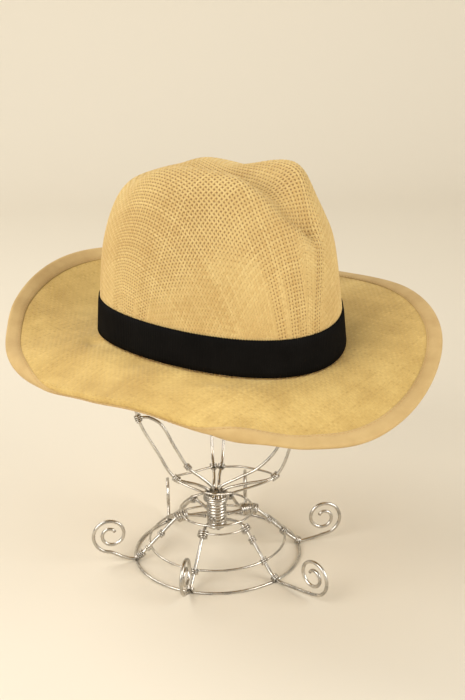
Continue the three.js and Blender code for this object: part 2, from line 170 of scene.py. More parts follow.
def crown_point(angle, row):
    """Outer face of the crown at an angle round the hat and a place along the table's rows."""
    angle, row = np.broadcast_arrays(np.asarray(angle, float), np.asarray(row, float))
    lean = np.where(np.cos(angle) > 0, crown_column(row, 1), crown_column(row, 3))
    height = crown_column(row, 0)
    x = OVAL["width"] * crown_column(row, 2) * np.sin(angle)
    y = -OVAL["length"] * lean * np.cos(angle)
    foot = saddle(angle) * (1 - smooth_step(row, 0, SADDLE["fade_rows"]))
    return np.stack([x, y, height + foot - dents(x, y, height)], -1)


print("front of the crown's foot:", crown_point(0, 0).round(1))

# %% [markdown]
# The brim
#
# The brim is a wavy ring round the crown's foot. A table gives the height of its edge at each angle, and
# the cloth bends more and more on its way out to it. A few soft dents are pressed in, because old cloth is
# never even.

# %% Surface of the brim
CLOTH = {"crown": 1.4, "brim": 1.5, "ribbon": 1.0, "tape": 0.7}
GAP = 0.3
BRIM = {"width": 70.6, "flare": 1.5}

# Columns: angle round the hat, height of the brim's edge there.
EDGE_ROWS = np.array([
    (0, -22.2),
    (30, -0.1),
    (60, 7.8),
    (90, 0.6),
    (120, -3.5),
    (150, 15.6),
    (180, 24.7),
    (210, 12.9),
    (225, 0.6),
    (240, -2.8),
    (255, -11.2),
    (270, -6.7),
    (285, -1.7),
    (300, -8.2),
    (315, -9.1),
    (330, -22.2),
    (345, -27.8),
])
EDGE_TURNS = np.concatenate([EDGE_ROWS + (turn, 0) for turn in (-360, 0, 360)])
# Soft dents in the brim. Columns: angle, millimetres out from the crown, depth, half angle, half reach.
BRIM_DENTS = (
    (238, 9, 3.2, 5, 7),
    (272, 7, 1.6, 6, 7),
    (291, 22, 1.8, 5, 14),
    (306, 9, 1.6, 7, 6),
    (256, 22, -1.5, 8, 12),
    (280, 30, -1.2, 7, 12),
    (318, 25, -1.2, 9, 14),
)


def brim_spread(angle, out):
    """Middle of the brim's cloth before its edge rolls under: out is 0 at the crown, 1 at the edge."""
    edge = smooth_table(EDGE_TURNS[:, 0], EDGE_TURNS[:, 1], np.degrees(angle))
    foot = saddle(angle) - CLOTH["brim"] / 2 - GAP
    share = np.sign(out) * np.abs(out) ** BRIM["flare"]
    for turn, middle, depth, half_angle, half_reach in BRIM_DENTS:
        around = (np.mod(np.degrees(angle), 360) - turn) / half_angle
        outward = (BRIM["width"] * out - middle) / half_reach
        foot = foot - depth * np.exp(-around**2 - outward**2)
    x = (OVAL["width"] + BRIM["width"] * out) * np.sin(angle)
    y = -(OVAL["length"] + BRIM["width"] * out) * np.cos(angle)
    return np.stack([x, y, foot + (edge - foot) * share], -1)


print("brim: edge from", EDGE_ROWS[:, 1].min(), "to", EDGE_ROWS[:, 1].max(), "mm")

# %% [markdown]
# The rolled edge
#
# On the wearer's right the edge of the brim is rolled under. Cloth keeps its length in a roll, so the
# surface goes straight on as far as the fold, then round a small arc and on below. The hills say where
# round the hat the roll starts, is full and ends.

# %% The brim with its roll
FOLD = {"bend": math.radians(172), "curl": 8}
FOLD_INSET = {"most": 17, "at": (222, 270, 290, 328)}
FOLD_STRIP = {"most": 15.4, "at": (220, 264, 297, 336)}
STEP = 0.002
LEAST_BEND = 1e-4


def unit(vectors):
    return vectors / np.linalg.norm(vectors, axis=-1, keepdims=True)


def hill(angle, shape):
    """Rises from the first angle to the second, and falls from the third to the fourth."""
    turn = np.mod(np.degrees(angle), 360)
    start, full, fade, stop = shape["at"]
    return shape["most"] * smooth_step(turn, start, full) * (1 - smooth_step(turn, fade, stop))


def fold_out(angle):
    return 1 - hill(angle, FOLD_INSET) / BRIM["width"]


def from_edge(angle, depth):
    """Places that lie a depth in from the cloth's own edge."""
    return fold_out(angle) + (hill(angle, FOLD_STRIP) - depth) / BRIM["width"]


def brim_point(angle, out):
    """The cloth goes on straight as far as the fold, and turns down and under past it."""
    angle, out = np.broadcast_arrays(np.asarray(angle, float), np.asarray(out, float))
    start = fold_out(angle)
    share = hill(angle, FOLD_STRIP) / FOLD_STRIP["most"]
    bend = np.maximum(FOLD["bend"] * share, LEAST_BEND)[..., None]
    outward = unit(brim_spread(angle, start + STEP) - brim_spread(angle, start - STEP))
    around = brim_spread(angle + STEP, start) - brim_spread(angle - STEP, start)
    up = unit(np.cross(outward, around))
    strip = np.maximum((out - start) * BRIM["width"], 0)[..., None]
    curled = np.minimum(strip, FOLD["curl"])
    radius = FOLD["curl"] / bend
    turn = curled / radius
    reach = radius * np.sin(turn) + (strip - curled) * np.cos(turn)
    drop = radius * (1 - np.cos(turn)) + (strip - curled) * np.sin(turn)
    flat = brim_spread(angle, np.minimum(out, start))
    return flat + outward * reach - up * drop


print("rolled under:", FOLD_STRIP["most"], "mm of cloth")

# %% [markdown]
# Layers of cloth
#
# Cloth, ribbon and tape lie on one another, so each needs the surface a little further out. The way out
# is the surface's normal, which two short steps along the surface give. The hat leans on its stand, so one
# more function takes its own millimetres to metres in the frame.

# %% Layers and lean
HAT = {"x": -7.52, "y": 0, "height": 190, "roll": math.radians(-2.9)}


def surface_normal(surface, angle, along):
    """Out of the hat for the crown, and down for the brim."""
    around = surface(angle + STEP, along) - surface(angle - STEP, along)
    onward = surface(angle, along + STEP) - surface(angle, along - STEP)
    return unit(np.cross(around, onward))


def crown_layer(angle, row, distance):
    outward = surface_normal(crown_point, angle, row)
    return crown_point(angle, row) + outward * np.asarray(distance)[..., None]


def brim_layer(angle, out, height):
    downward = surface_normal(brim_point, angle, out)
    return brim_point(angle, out) - downward * np.asarray(height)[..., None]


ROLL = np.array(Matrix.Rotation(HAT["roll"], 3, "Y"))
HAT_PLACE = np.array((HAT["x"], HAT["y"], HAT["height"]))


def on_stand(points):
    """From the hat's own millimetres to metres in the frame, where the hat leans on its stand."""
    return (points @ ROLL.T + HAT_PLACE) * MM


front_edge = on_stand(brim_point(0, 1))
print("the front of the brim's edge:", front_edge.round(4))

# %% [markdown]
# Finishes
#
# Each finish is a small node tree on one shader. Numbers that are the same all over are set on the shader
# itself, and only what varies gets nodes. The simplest finish is the painted shade that is seen through the
# crown's holes: one dark brown and no nodes.

# %% Finish helpers
# Painted shade: the dark brown of the crown's shaded inside, as seen through the holes of its cloth.
HOLE_SHADE_BROWN = (0.29, 0.17, 0.055)


def start_finish(name, roughness, metallic=0.0, sheen=0.0, gloss=0.5):
    finish = bpy.data.materials.new(name)
    finish.use_nodes = True
    shader = finish.node_tree.nodes["Principled BSDF"]
    shader.inputs["Roughness"].default_value = roughness
    shader.inputs["Metallic"].default_value = metallic
    shader.inputs["Sheen Weight"].default_value = sheen
    shader.inputs["Specular IOR Level"].default_value = gloss
    return finish, finish.node_tree, shader


def add_node(tree, kind, **settings):
    node = tree.nodes.new(kind)
    for key, value in settings.items():
        if key in node.inputs:
            node.inputs[key].default_value = value
        else:
            setattr(node, key, value)
    return node


def colour_steps(tree, source, steps):
    """Colours along a ramp: each step is a place and a colour."""
    ramp = add_node(tree, "ShaderNodeValToRGB")
    while len(ramp.color_ramp.elements) < len(steps):
        ramp.color_ramp.elements.new(0.5)
    for element, (place, colour) in zip(ramp.color_ramp.elements, steps):
        element.position = place
        element.color = (*colour, 1)
    tree.links.new(source, ramp.inputs["Fac"])
    return ramp.outputs["Color"]


def add_bump(tree, shader, height, strength, distance):
    bump = add_node(tree, "ShaderNodeBump", Strength=strength, Distance=distance)
    tree.links.new(height, bump.inputs["Height"])
    tree.links.new(bump.outputs["Normal"], shader.inputs["Normal"])


# A dark sheet that paints the shade in the crown's holes.
painted_hole_shade, _, hole_shade_shader = start_finish("painted_hole_shade", roughness=0.6, gloss=0.25)
hole_shade_shader.inputs["Base Color"].default_value = (*HOLE_SHADE_BROWN, 1)
print("finish:", painted_hole_shade.name)

# %% [markdown]
# Paper yarn
#
# The yarn is a flat strip of paper, matt, and its colour varies from yarn to yarn and along each of them.
# A pattern of a weave could be laid on a smooth wall, but here each yarn is a mesh. So the colour reads a
# tone that is stored on the yarn, a noise over the whole hat for blotches, and a noise that is stretched
# along the yarn for its fibres.

# %% Paper yarn
CROWN_STRAW = [
    (0.3, (0.56, 0.375, 0.14)),
    (0.62, (0.71, 0.535, 0.232)),
    (0.95, (0.81, 0.655, 0.345)),
]
BRIM_STRAW = [
    (0.29, (0.47, 0.305, 0.092)),
    (0.41, (0.58, 0.395, 0.128)),
    (0.53, (0.69, 0.495, 0.175)),
]
BLOTCH = {"Scale": 28.0, "Detail": 3.0, "Roughness": 0.6}
BLOTCH_SHARE = 0.5
FIBRE = {"Scale": 3.0, "Detail": 2.0, "Roughness": 0.7}
FIBRE_STRETCH = (60.0, 1.0, 1.0)
FIBRE_SHARE = 0.35
BUMP_DISTANCE = 0.0002


def paper_finish(name, straws):
    """Yarn colours from dark to pale. Steps that lie closer give the cloth stronger blotches."""
    finish, tree, shader = start_finish(name, roughness=0.7, sheen=0.1, gloss=0.25)
    tone = add_node(tree, "ShaderNodeAttribute", attribute_name="tone")
    yarn = add_node(tree, "ShaderNodeAttribute", attribute_name="yarn")
    place = add_node(tree, "ShaderNodeTexCoord")
    blotch = add_node(tree, "ShaderNodeTexNoise", **BLOTCH)
    tree.links.new(place.outputs["Object"], blotch.inputs["Vector"])
    fibre = add_node(tree, "ShaderNodeTexNoise", **FIBRE)
    stretch = add_node(tree, "ShaderNodeMapping", Scale=FIBRE_STRETCH)
    tree.links.new(yarn.outputs["Vector"], stretch.inputs["Vector"])
    tree.links.new(stretch.outputs["Vector"], fibre.inputs["Vector"])
    mix = add_node(tree, "ShaderNodeMath", operation="MULTIPLY_ADD")
    mix.inputs[1].default_value = BLOTCH_SHARE
    tree.links.new(blotch.outputs["Fac"], mix.inputs[0])
    tree.links.new(tone.outputs["Fac"], mix.inputs[2])
    both = add_node(tree, "ShaderNodeMath", operation="MULTIPLY_ADD")
    both.inputs[1].default_value = FIBRE_SHARE
    tree.links.new(fibre.outputs["Fac"], both.inputs[0])
    tree.links.new(mix.outputs["Value"], both.inputs[2])
    colour = colour_steps(tree, both.outputs["Value"], straws)
    tree.links.new(colour, shader.inputs["Base Color"])
    add_bump(tree, shader, fibre.outputs["Fac"], 0.25, BUMP_DISTANCE)
    return finish


crown_paper = paper_finish("crown_paper", CROWN_STRAW)
brim_paper = paper_finish("brim_paper", BRIM_STRAW)
print("finish:", crown_paper.name, brim_paper.name)

# %% [markdown]
# Trim
#
# Tape, thread and ribbon are made of threads too fine to model one by one. Their grain goes into the bump,
# and a slow noise lets the colour change a little, as in worn cloth. One function serves all three, each
# with its own colours, grain and gloss.

# %% Tape, thread and ribbon
TAN = (0.60, 0.425, 0.19)
TAN_DARK = (0.50, 0.335, 0.14)
THREAD = (0.58, 0.38, 0.16)
THREAD_DARK = (0.45, 0.28, 0.11)
BLACK = (0.0030, 0.0027, 0.0025)
BLACK_PALE = tuple(2 * part for part in BLACK)


def woven_finish(name, dark, pale, threads, roughness, sheen, gloss=0.15):
    """Cloth with threads too fine to model: a grain in its bump, over a slow change of tone."""
    finish, tree, shader = start_finish(name, roughness=roughness, sheen=sheen, gloss=gloss)
    place = add_node(tree, "ShaderNodeTexCoord")
    tone = add_node(tree, "ShaderNodeTexNoise", Scale=40.0, Detail=4.0, Roughness=0.65)
    tree.links.new(place.outputs["Object"], tone.inputs["Vector"])
    grain = add_node(tree, "ShaderNodeTexNoise", Scale=threads, Detail=1.0)
    tree.links.new(place.outputs["Object"], grain.inputs["Vector"])
    colour = colour_steps(tree, tone.outputs["Fac"], [(0.3, dark), (0.7, pale)])
    tree.links.new(colour, shader.inputs["Base Color"])
    add_bump(tree, shader, grain.outputs["Fac"], 0.3, BUMP_DISTANCE)
    return finish


tan_tape = woven_finish("tan_tape", TAN_DARK, TAN, threads=2500.0, roughness=0.8, sheen=0.1)
tan_thread = woven_finish("tan_thread", THREAD_DARK, THREAD, threads=4000.0, roughness=0.75, sheen=0.1)
black_rib = woven_finish("black_rib", BLACK, BLACK_PALE, threads=3000.0, roughness=0.75, sheen=0.0,
                         gloss=0.05)
print("finish:", tan_tape.name, tan_thread.name, black_rib.name)

# %% [markdown]
# Wire
#
# The stand is bare drawn steel that has dulled in patches. Its warm, darkened colour is partly tarnish and
# partly a painted reflection of a brown table. A metal's look comes from its colour and its roughness, so
# one noise drives both: a dull patch is darker and rougher than the rest.

# %% Bare wire
# Warm steel: partly tarnish, partly a painted reflection of a brown table.
STEEL_TARNISH_AND_REFLECTION = (0.69, 0.655, 0.60)
DULL_STEEL_TARNISH_AND_REFLECTION = tuple(0.6 * part for part in STEEL_TARNISH_AND_REFLECTION)
WEAR = {"dull": 0.36, "bright": 0.16}


def wire_finish(name):
    finish, tree, shader = start_finish(name, roughness=0.3, metallic=1.0)
    place = add_node(tree, "ShaderNodeTexCoord")
    patches = add_node(tree, "ShaderNodeTexNoise", Scale=90.0, Detail=3.0, Roughness=0.6)
    tree.links.new(place.outputs["Object"], patches.inputs["Vector"])
    colour = colour_steps(tree, patches.outputs["Fac"], [(0.35, DULL_STEEL_TARNISH_AND_REFLECTION), (0.65, STEEL_TARNISH_AND_REFLECTION)])
    tree.links.new(colour, shader.inputs["Base Color"])
    wear = add_node(tree, "ShaderNodeMapRange")
    wear.inputs["To Min"].default_value = WEAR["dull"]
    wear.inputs["To Max"].default_value = WEAR["bright"]
    tree.links.new(patches.outputs["Fac"], wear.inputs["Value"])
    tree.links.new(wear.outputs["Result"], shader.inputs["Roughness"])
    return finish


bare_wire = wire_finish("bare_wire")
print("finishes:", len(bpy.data.materials))


# %% [markdown]
# How pieces join the frame
#
# A piece rides on the frame's one body, takes its finish, and stands for the plain nodes that it replaces.
# One helper does this for every piece, so none is forgotten.


# %% Join a piece to the frame
def dress(piece, finish, slot, *nodes):
    piece.data.materials.append(finish)
    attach(piece, "root")
    if nodes:
        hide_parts(*nodes)
    triangles = sum(len(face.vertices) - 2 for face in piece.data.polygons)
    print("piece:", piece.name, triangles, "triangles")
    return piece


def mesh_piece(name, bm):
    mesh = bpy.data.meshes.new(name)
    bm.to_mesh(mesh)
    bm.free()
    for face in mesh.polygons:
        face.use_smooth = True
    piece = bpy.data.objects.new(name, mesh)
    bpy.context.scene.collection.objects.link(piece)
    return piece


# %% [markdown]
# Yarns
#
# A yarn is a flat thread that runs over and under the ones it crosses. Thousands of crossings are too many
# for operators, so the yarns of one cloth are joined into one mesh from arrays: a ring of corners at each
# crossing, set to the surface's normal, with walls between the rings and a cap at each end. The mesh keeps
# the distance along the yarn and the yarn's own tone for the finish to read.

# %% A mesh of many yarns
YARN_SIDES = 6
RING = 2 * np.pi * np.arange(YARN_SIDES) / YARN_SIDES
chance = np.random.default_rng(7)


def lengths_along(line):
    """Distance along a row of points, from the first of them to each."""
    return np.concatenate([[0], np.cumsum(np.linalg.norm(np.diff(line, axis=0), axis=1))])


class YarnSet:
    """Collects yarns, each a row of points with its normals and half widths, and joins them."""

    def __init__(self):
        self.corners = []
        self.walls = []
        self.caps = []
        self.lengths = []
        self.tones = []
        self.count = 0

    def add(self, line, normals, half_width, half_thick, tone):
        forward = unit(np.gradient(line, axis=0))
        side = unit(np.cross(normals, forward))
        wide = (side * np.reshape(half_width, (-1, 1)))[:, None, :] * np.cos(RING)[None, :, None]
        thick = (normals * half_thick)[:, None, :] * np.sin(RING)[None, :, None]
        rings = line[:, None, :] + wide + thick
        along = lengths_along(line)
        here = self.count + YARN_SIDES * np.arange(len(line) - 1)[:, None] + np.arange(YARN_SIDES)
        beside = np.roll(here, -1, axis=1)
        walls = np.stack([here, beside, beside + YARN_SIDES, here + YARN_SIDES], -1)
        self.corners.append(rings.reshape(-1, 3))
        self.walls.append(walls.reshape(-1, 4))
        last = self.count + YARN_SIDES * (len(line) - 1)
        self.caps.append(list(range(self.count + YARN_SIDES - 1, self.count - 1, -1)))
        self.caps.append(list(range(last, last + YARN_SIDES)))
        around = np.stack([np.cos(RING), np.sin(RING)], -1)
        place = np.concatenate([
            np.repeat(along * MM, YARN_SIDES)[:, None],
            np.tile(around, (len(line), 1)),
        ], axis=1)
        self.lengths.append(place)
        self.tones.append(np.full(len(line) * YARN_SIDES, tone))
        self.count += len(line) * YARN_SIDES

    def piece(self, name):
        corners = on_stand(np.concatenate(self.corners))
        faces = np.concatenate(self.walls).tolist() + self.caps
        mesh = bpy.data.meshes.new(name)
        mesh.from_pydata(corners.tolist(), [], faces)
        mesh.attributes.new("yarn", "FLOAT_VECTOR", "POINT")
        mesh.attributes["yarn"].data.foreach_set("vector", np.concatenate(self.lengths).ravel())
        mesh.attributes.new("tone", "FLOAT", "POINT")
        mesh.attributes["tone"].data.foreach_set("value", np.concatenate(self.tones))
        mesh.polygons.foreach_set("use_smooth", [True] * len(faces))
        mesh.validate()
        piece = bpy.data.objects.new(name, mesh)
        bpy.context.scene.collection.objects.link(piece)
        return piece


print("yarns have", YARN_SIDES, "sides")

# %% [markdown]
# The crown's net
#
# The crown is one flat cloth pressed over a block. Its yarns can't stretch, so each crossing keeps its
# distance to the next, and only the angle between the yarns gives way. Down the front, back and sides the
# squares stay square and open, and between them they slant and close. A cloth simulation could find this
# net. Here it is pulled smooth in code, so that it is the same each time. That needs a quick way to set
# points onto the crown, so the crown is first measured from a point inside it.

# %% The crown as seen from a point inside it
MIDDLE = np.array((0, 0, 58.0))
TURNS = 512
TILTS = 400
LOWEST_TILT = -1.0
WALL_ROWS = 600


def block_table():
    """Distance from the middle to the crown's wall, for each turn and tilt of the look."""
    turn = 2 * np.pi * np.arange(TURNS)[:, None] / TURNS
    row = np.linspace(0, TOP_ROW, WALL_ROWS)[None, :]
    lean = np.where(np.cos(turn) > 0, crown_column(row, 1), crown_column(row, 3))
    wide = OVAL["width"] * crown_column(row, 2)
    angle = np.arctan2(OVAL["length"] * lean * np.sin(turn), wide * np.cos(turn))
    wall = crown_point(angle, row + 0 * turn) - MIDDLE
    flat = np.hypot(wall[..., 0], wall[..., 1])
    tilt = np.maximum.accumulate(np.arctan2(wall[..., 2], flat), axis=1)
    far = np.hypot(flat, wall[..., 2])
    looks = np.linspace(LOWEST_TILT, np.pi / 2, TILTS)
    table = np.empty((TURNS, TILTS))
    for k in range(TURNS):
        table[k] = np.interp(looks, tilt[k], far[k])
        below = looks < tilt[k, 0]
        table[k, below] = flat[k, 0] / np.cos(looks[below])
    return table


BLOCK = block_table()


def onto_block(points):
    """Moves points straight out from the middle, or in, onto the crown's surface."""
    look = unit(points - MIDDLE)
    turn = np.mod(np.arctan2(look[..., 0], -look[..., 1]), 2 * np.pi) / (2 * np.pi) * TURNS
    tilt = np.arctan2(look[..., 2], np.hypot(look[..., 0], look[..., 1])) - LOWEST_TILT
    tilt = np.clip(tilt / (np.pi / 2 - LOWEST_TILT) * (TILTS - 1), 0, TILTS - 1.001)
    i = np.floor(turn).astype(int)
    j = np.floor(tilt).astype(int)
    u = turn - i
    v = tilt - j
    i = i % TURNS
    right = (i + 1) % TURNS
    low = BLOCK[i, j] * (1 - u) + BLOCK[right, j] * u
    high = BLOCK[i, j + 1] * (1 - u) + BLOCK[right, j + 1] * u
    return look * (low * (1 - v) + high * v)[..., None] + MIDDLE


print("block: wall from", BLOCK.min().round(1), "to", BLOCK.max().round(1), "mm from the middle")

# %% [markdown]
# Laying the cloth
#
# The flat cloth starts as a grid of crossings. Each is taken down the crown's wall from the top, in its own
# direction, as far as it lay from the middle of the cloth. Half way between warp and weft a cloth gives way
# most, so there it is laid longer.

# %% Lay the cloth over the block
PITCH = (2.4, 2.7)
COARSE = 3
NET_REACH = 236
NET_TURN = math.radians(-14)
BIAS_STRETCH = 0.28
BIAS_FADE = (20, 150)
MERIDIAN_ROWS = 400


def flat_net(step):
    """Places of the crossings on the flat cloth: to the left of its middle, and ahead of it."""
    ways = []
    for pitch in PITCH:
        half = COARSE // step * math.ceil(NET_REACH / (COARSE * pitch))
        ways.append(np.arange(-half, half + 1) * pitch * step)
    return np.meshgrid(*ways, indexing="ij")


def laid_net(left, ahead):
    """The flat net bent down over the block along the meridians, longer on the bias."""
    angle = np.arctan2(left, ahead)
    reach = np.hypot(left, ahead)
    reach = reach * (1 + BIAS_STRETCH * np.sin(2 * angle) ** 2 * smooth_step(reach, *BIAS_FADE))
    angle = angle + NET_TURN
    wall = crown_point(np.radians(np.arange(361))[:, None], np.linspace(TOP_ROW, 0, MERIDIAN_ROWS))
    steps = np.linalg.norm(np.diff(wall, axis=1), axis=-1)
    lengths = np.concatenate([np.zeros((len(steps), 1)), np.cumsum(steps, axis=1)], axis=1)
    points = np.empty((*reach.shape, 3))
    spoke = np.round(np.mod(np.degrees(angle), 360)).astype(int)
    for k in range(len(wall)):
        mine = spoke == k
        for axis in range(3):
            points[mine, axis] = np.interp(reach[mine], lengths[k], wall[k, :, axis])
        points[mine, 2] -= np.maximum(reach[mine] - lengths[k, -1], 0)
    return onto_block(points)


left, ahead = flat_net(COARSE)
net = laid_net(left, ahead)
print("net:", net.shape[0], "by", net.shape[1], "crossings at first")

# %% [markdown]
# Pulling the net smooth
#
# Each yarn is now pulled to its right length again and again, straightened a little, and set back onto the
# crown. A coarse net with every third yarn settles quickly, so it goes first, and the fine net starts from
# it.

# %% Relax the net
COARSE_MARGIN = 9
COARSE_ROUNDS = 400
FINE_ROUNDS = 60
PULL = 1.2
STIFFNESS = 0.06


def finer(net, times):
    """Sets new crossings between those of a coarse net."""
    for axis in (0, 1):
        net = np.moveaxis(net, axis, 0)
        at = np.arange((len(net) - 1) * times + 1) / times
        low = np.minimum(at.astype(int), len(net) - 2)
        share = (at - low)[:, None, None]
        net = np.moveaxis(net[low] * (1 - share) + net[low + 1] * share, 0, axis)
    return onto_block(net)


def relax(net, live, step, rounds):
    """Pulls each yarn to its right length, straightens it a little and sets the net back on the block."""
    pairs = []
    for axis in (0, 1):
        first = (slice(0, -1), slice(None)) if axis == 0 else (slice(None), slice(0, -1))
        second = (slice(1, None), slice(None)) if axis == 0 else (slice(None), slice(1, None))
        pairs.append((first, second, live[first] & live[second], step * PITCH[axis]))
    shares = np.zeros(live.shape)
    for first, second, both, _ in pairs:
        shares[first] += both
        shares[second] += both
    shares = np.maximum(shares, 1)[..., None]
    for _ in range(rounds):
        pull = np.zeros_like(net)
        for first, second, both, right_length in pairs:
            edge = net[second] - net[first]
            length = np.maximum(np.linalg.norm(edge, axis=-1), 1e-6)
            half = (both * (length - right_length) / length / 2)[..., None] * edge
            pull[first] += half
            pull[second] -= half
        net = net + PULL * pull / shares
        for axis, (_, _, both, _) in enumerate(pairs):
            row = np.moveaxis(net, axis, 0)
            inner = np.moveaxis(both, axis, 0)
            inner = (inner[1:] & inner[:-1])[..., None]
            row[1:-1] += STIFFNESS / 2 * inner * ((row[2:] + row[:-2]) / 2 - row[1:-1])
        net = onto_block(net)
    return net


live = np.hypot(left, ahead) <= NET_REACH + COARSE_MARGIN
net = relax(net, live, COARSE, COARSE_ROUNDS)
left, ahead = flat_net(1)
live = np.hypot(left, ahead) <= NET_REACH
net = relax(finer(net, COARSE), live, 1, FINE_ROUNDS)
for axis, pitch in enumerate(PITCH):
    lengths = np.linalg.norm(np.diff(net, axis=axis), axis=-1)
    print("net: spacing", np.median(lengths).round(2), "mm for", pitch)

# %% [markdown]
# Open and closed weave
#
# Where the net slants, its yarns come closer and the holes close. Two measures say how much: the distance
# between neighbouring yarns, and how far a hole has closed. The steps from crossing to crossing give both,
# and the normals too.

# %% Room between the crown's yarns
CLOSING = (0.085, 0.17)


def net_normals(points):
    one = np.gradient(points, axis=0)
    two = np.gradient(points, axis=1)
    normals = unit(np.cross(one, two) + 1e-9)
    outward = np.sum(normals * (points - MIDDLE), axis=-1, keepdims=True)
    return normals * np.sign(outward)


def spacing(points):
    """Distance between neighbouring yarns of each way, and how far the hole between them has closed."""
    one = np.gradient(points, axis=0)
    two = np.gradient(points, axis=1)
    area = np.linalg.norm(np.cross(one, two), axis=-1)
    first = np.linalg.norm(one, axis=-1)
    second = np.linalg.norm(two, axis=-1)
    return (area / first, area / second), smooth_step(1 - area / (first * second), *CLOSING)


crown_gaps, crown_closed = spacing(net)
print("closed weave:", round(100 * crown_closed[live].mean()), "% of the crown's cloth")

# %% [markdown]
# The crown's cloth
#
# The yarns along one way of the net are the warp and those along the other the weft. Each goes over one
# crossing and under the next. Where the holes close a yarn spreads, but never wider than the room beside
# its neighbours. It ends at the foot of the crown, under the ribbon.

# %% Weave the crown
CROWN_YARN = {"half_width": 0.84, "half_thick": 0.36, "wave": 0.34, "tone": 0.05, "spread": 0.5}
YARN_ROOM = 0.52


def foot_height(points):
    angle = np.arctan2(points[..., 0] / OVAL["width"], -points[..., 1] / OVAL["length"])
    return points[..., 2] - saddle(angle)


def run_ends(line, level):
    """Cuts a row of points where level passes below zero, with its ends set on the cut."""
    inside = np.flatnonzero(level >= 0)
    breaks = np.flatnonzero(np.diff(inside) > 1)
    for run in np.split(inside, breaks + 1):
        if len(run) < 2:
            continue
        first, last = run[0], run[-1]
        keep = np.arange(max(first - 1, 0), min(last + 2, len(line)))
        cut = line[keep].copy()
        if first > 0:
            share = level[first] / (level[first] - level[first - 1])
            cut[0] = line[first] + share * (line[first - 1] - line[first])
        if last < len(line) - 1:
            share = level[last] / (level[last] - level[last + 1])
            cut[-1] = line[last] + share * (line[last + 1] - line[last])
        yield keep, cut


def weave(points, normals, levels, gaps, closed, yarn, names, finish, slot, nodes):
    """Makes two pieces of a net of crossings: the yarns along its first way, and those along its second."""
    sizes = points.shape[:2]
    sign = (-1.0) ** np.add.outer(np.arange(sizes[0]), np.arange(sizes[1]))
    for way, (gap, name) in enumerate(zip(gaps, names)):
        yarns = YarnSet()
        for k in range(sizes[1 - way]):
            pick = (slice(None), k) if way == 0 else (k, slice(None))
            over = (sign if way == 0 else -sign)[pick]
            tone = chance.normal(0, yarn["tone"])
            for keep, cut in run_ends(points[pick], levels[pick]):
                up = normals[pick][keep]
                line = cut + up * (over[keep] * yarn["wave"])[:, None]
                width = yarn["half_width"] * (1 + yarn["spread"] * closed[pick][keep])
                width = np.minimum(width, YARN_ROOM * gap[pick][keep])
                yarns.add(line, up, width, yarn["half_thick"], tone)
        dress(yarns.piece(name), finish, slot, *nodes)
        print(name, len(yarns.walls), "yarns,", yarns.count // YARN_SIDES, "crossings")


crown_levels = np.where(live, foot_height(net), -1.0)
weave(net, net_normals(net), crown_levels, crown_gaps, crown_closed, CROWN_YARN,
      ("crown_warp", "crown_weft"), crown_paper, "woven_paper", ("crown",))

# %% [markdown]
# Rings, walls and folds
#
# The brim, the ribbon and the tape all go once round the hat. Such a piece starts as a circle of corners.
# The circle is extruded as many times as its section has corners, and each new ring is set where the
# surface says. A section that comes back to its start is closed by bridging the first and last rings.


# %% Rings round the hat
def grow_ring(bm, ring, edges):
    """Extrudes a ring of edges once. Gives the new corners, in the old order, and the new edges."""
    grown = bmesh.ops.extrude_edge_only(bm, edges=edges)["geom"]
    new = {part for part in grown if isinstance(part, bmesh.types.BMVert)}
    ring = [next(e.other_vert(v) for e in v.link_edges if e.other_vert(v) in new) for v in ring]
    edges = [part for part in grown if isinstance(part, bmesh.types.BMEdge)]
    return ring, [edge for edge in edges if edge.verts[0] in new and edge.verts[1] in new]


def ring_piece(name, around, places, closed):
    """places is a list of functions from the array of angles to points, one for each ring."""
    bm = bmesh.new()
    bmesh.ops.create_circle(bm, segments=around, radius=1)
    bm.verts.ensure_lookup_table()
    angles = 2 * np.pi * np.arange(around) / around
    ring = list(bm.verts)
    edges = list(bm.edges)
    first_edges = edges
    for n, place in enumerate(places):
        if n:
            ring, edges = grow_ring(bm, ring, edges)
        for vert, point in zip(ring, on_stand(place(angles))):
            vert.co = point
    if closed:
        bmesh.ops.bridge_loops(bm, edges=first_edges + edges)
    bmesh.ops.recalc_face_normals(bm, faces=bm.faces)
    return mesh_piece(name, bm)


# %% [markdown]
# Painted shade in the crown's holes
#
# The inside of the crown lies in shade, and that shade shows brown in the holes between the yarns. One thin
# brown wall in the middle of the cloth paints that shade, so the crown isn't seen through.

# %% Sheet of painted shade in the crown's cloth
FILM_AROUND = 180
FILM_HALF = 0.06
FILM_ROWS = np.linspace(0, TOP_ROW - 0.03, 60)


def film_ring(row, height):
    return lambda angles: crown_layer(angles, row, height)


film_section = [film_ring(row, FILM_HALF) for row in FILM_ROWS]
film_section += [film_ring(row, -FILM_HALF) for row in FILM_ROWS[::-1]]
crown_shade_sheet = ring_piece("crown_shade_sheet", FILM_AROUND, film_section, closed=True)
dress(crown_shade_sheet, painted_hole_shade, "woven_paper", "crown")

# %% [markdown]
# The brim
#
# The brim is cut flat from a closer cloth, so its yarns run straight across it, and size fills the holes.
# A thin wall is the dried size, and the yarns go over and under it. Its near right edge has rolled
# under, and that comes from the surface.

# %% Wall of the brim
BRIM_AROUND = 200
BRIM_RINGS = {"spread": 14, "strip": 15}
SIZE_HALF = 0.3
INNER = -CLOTH["crown"] / BRIM["width"]
YARN_END = 0.6
STRIP = FOLD_STRIP["most"] + YARN_END


def brim_ring(share, depth, height):
    """A ring some share of the way from the crown to a place at a depth from the cloth's edge."""
    def place(angles):
        return brim_layer(angles, INNER + (from_edge(angles, depth) - INNER) * share, height)
    return place


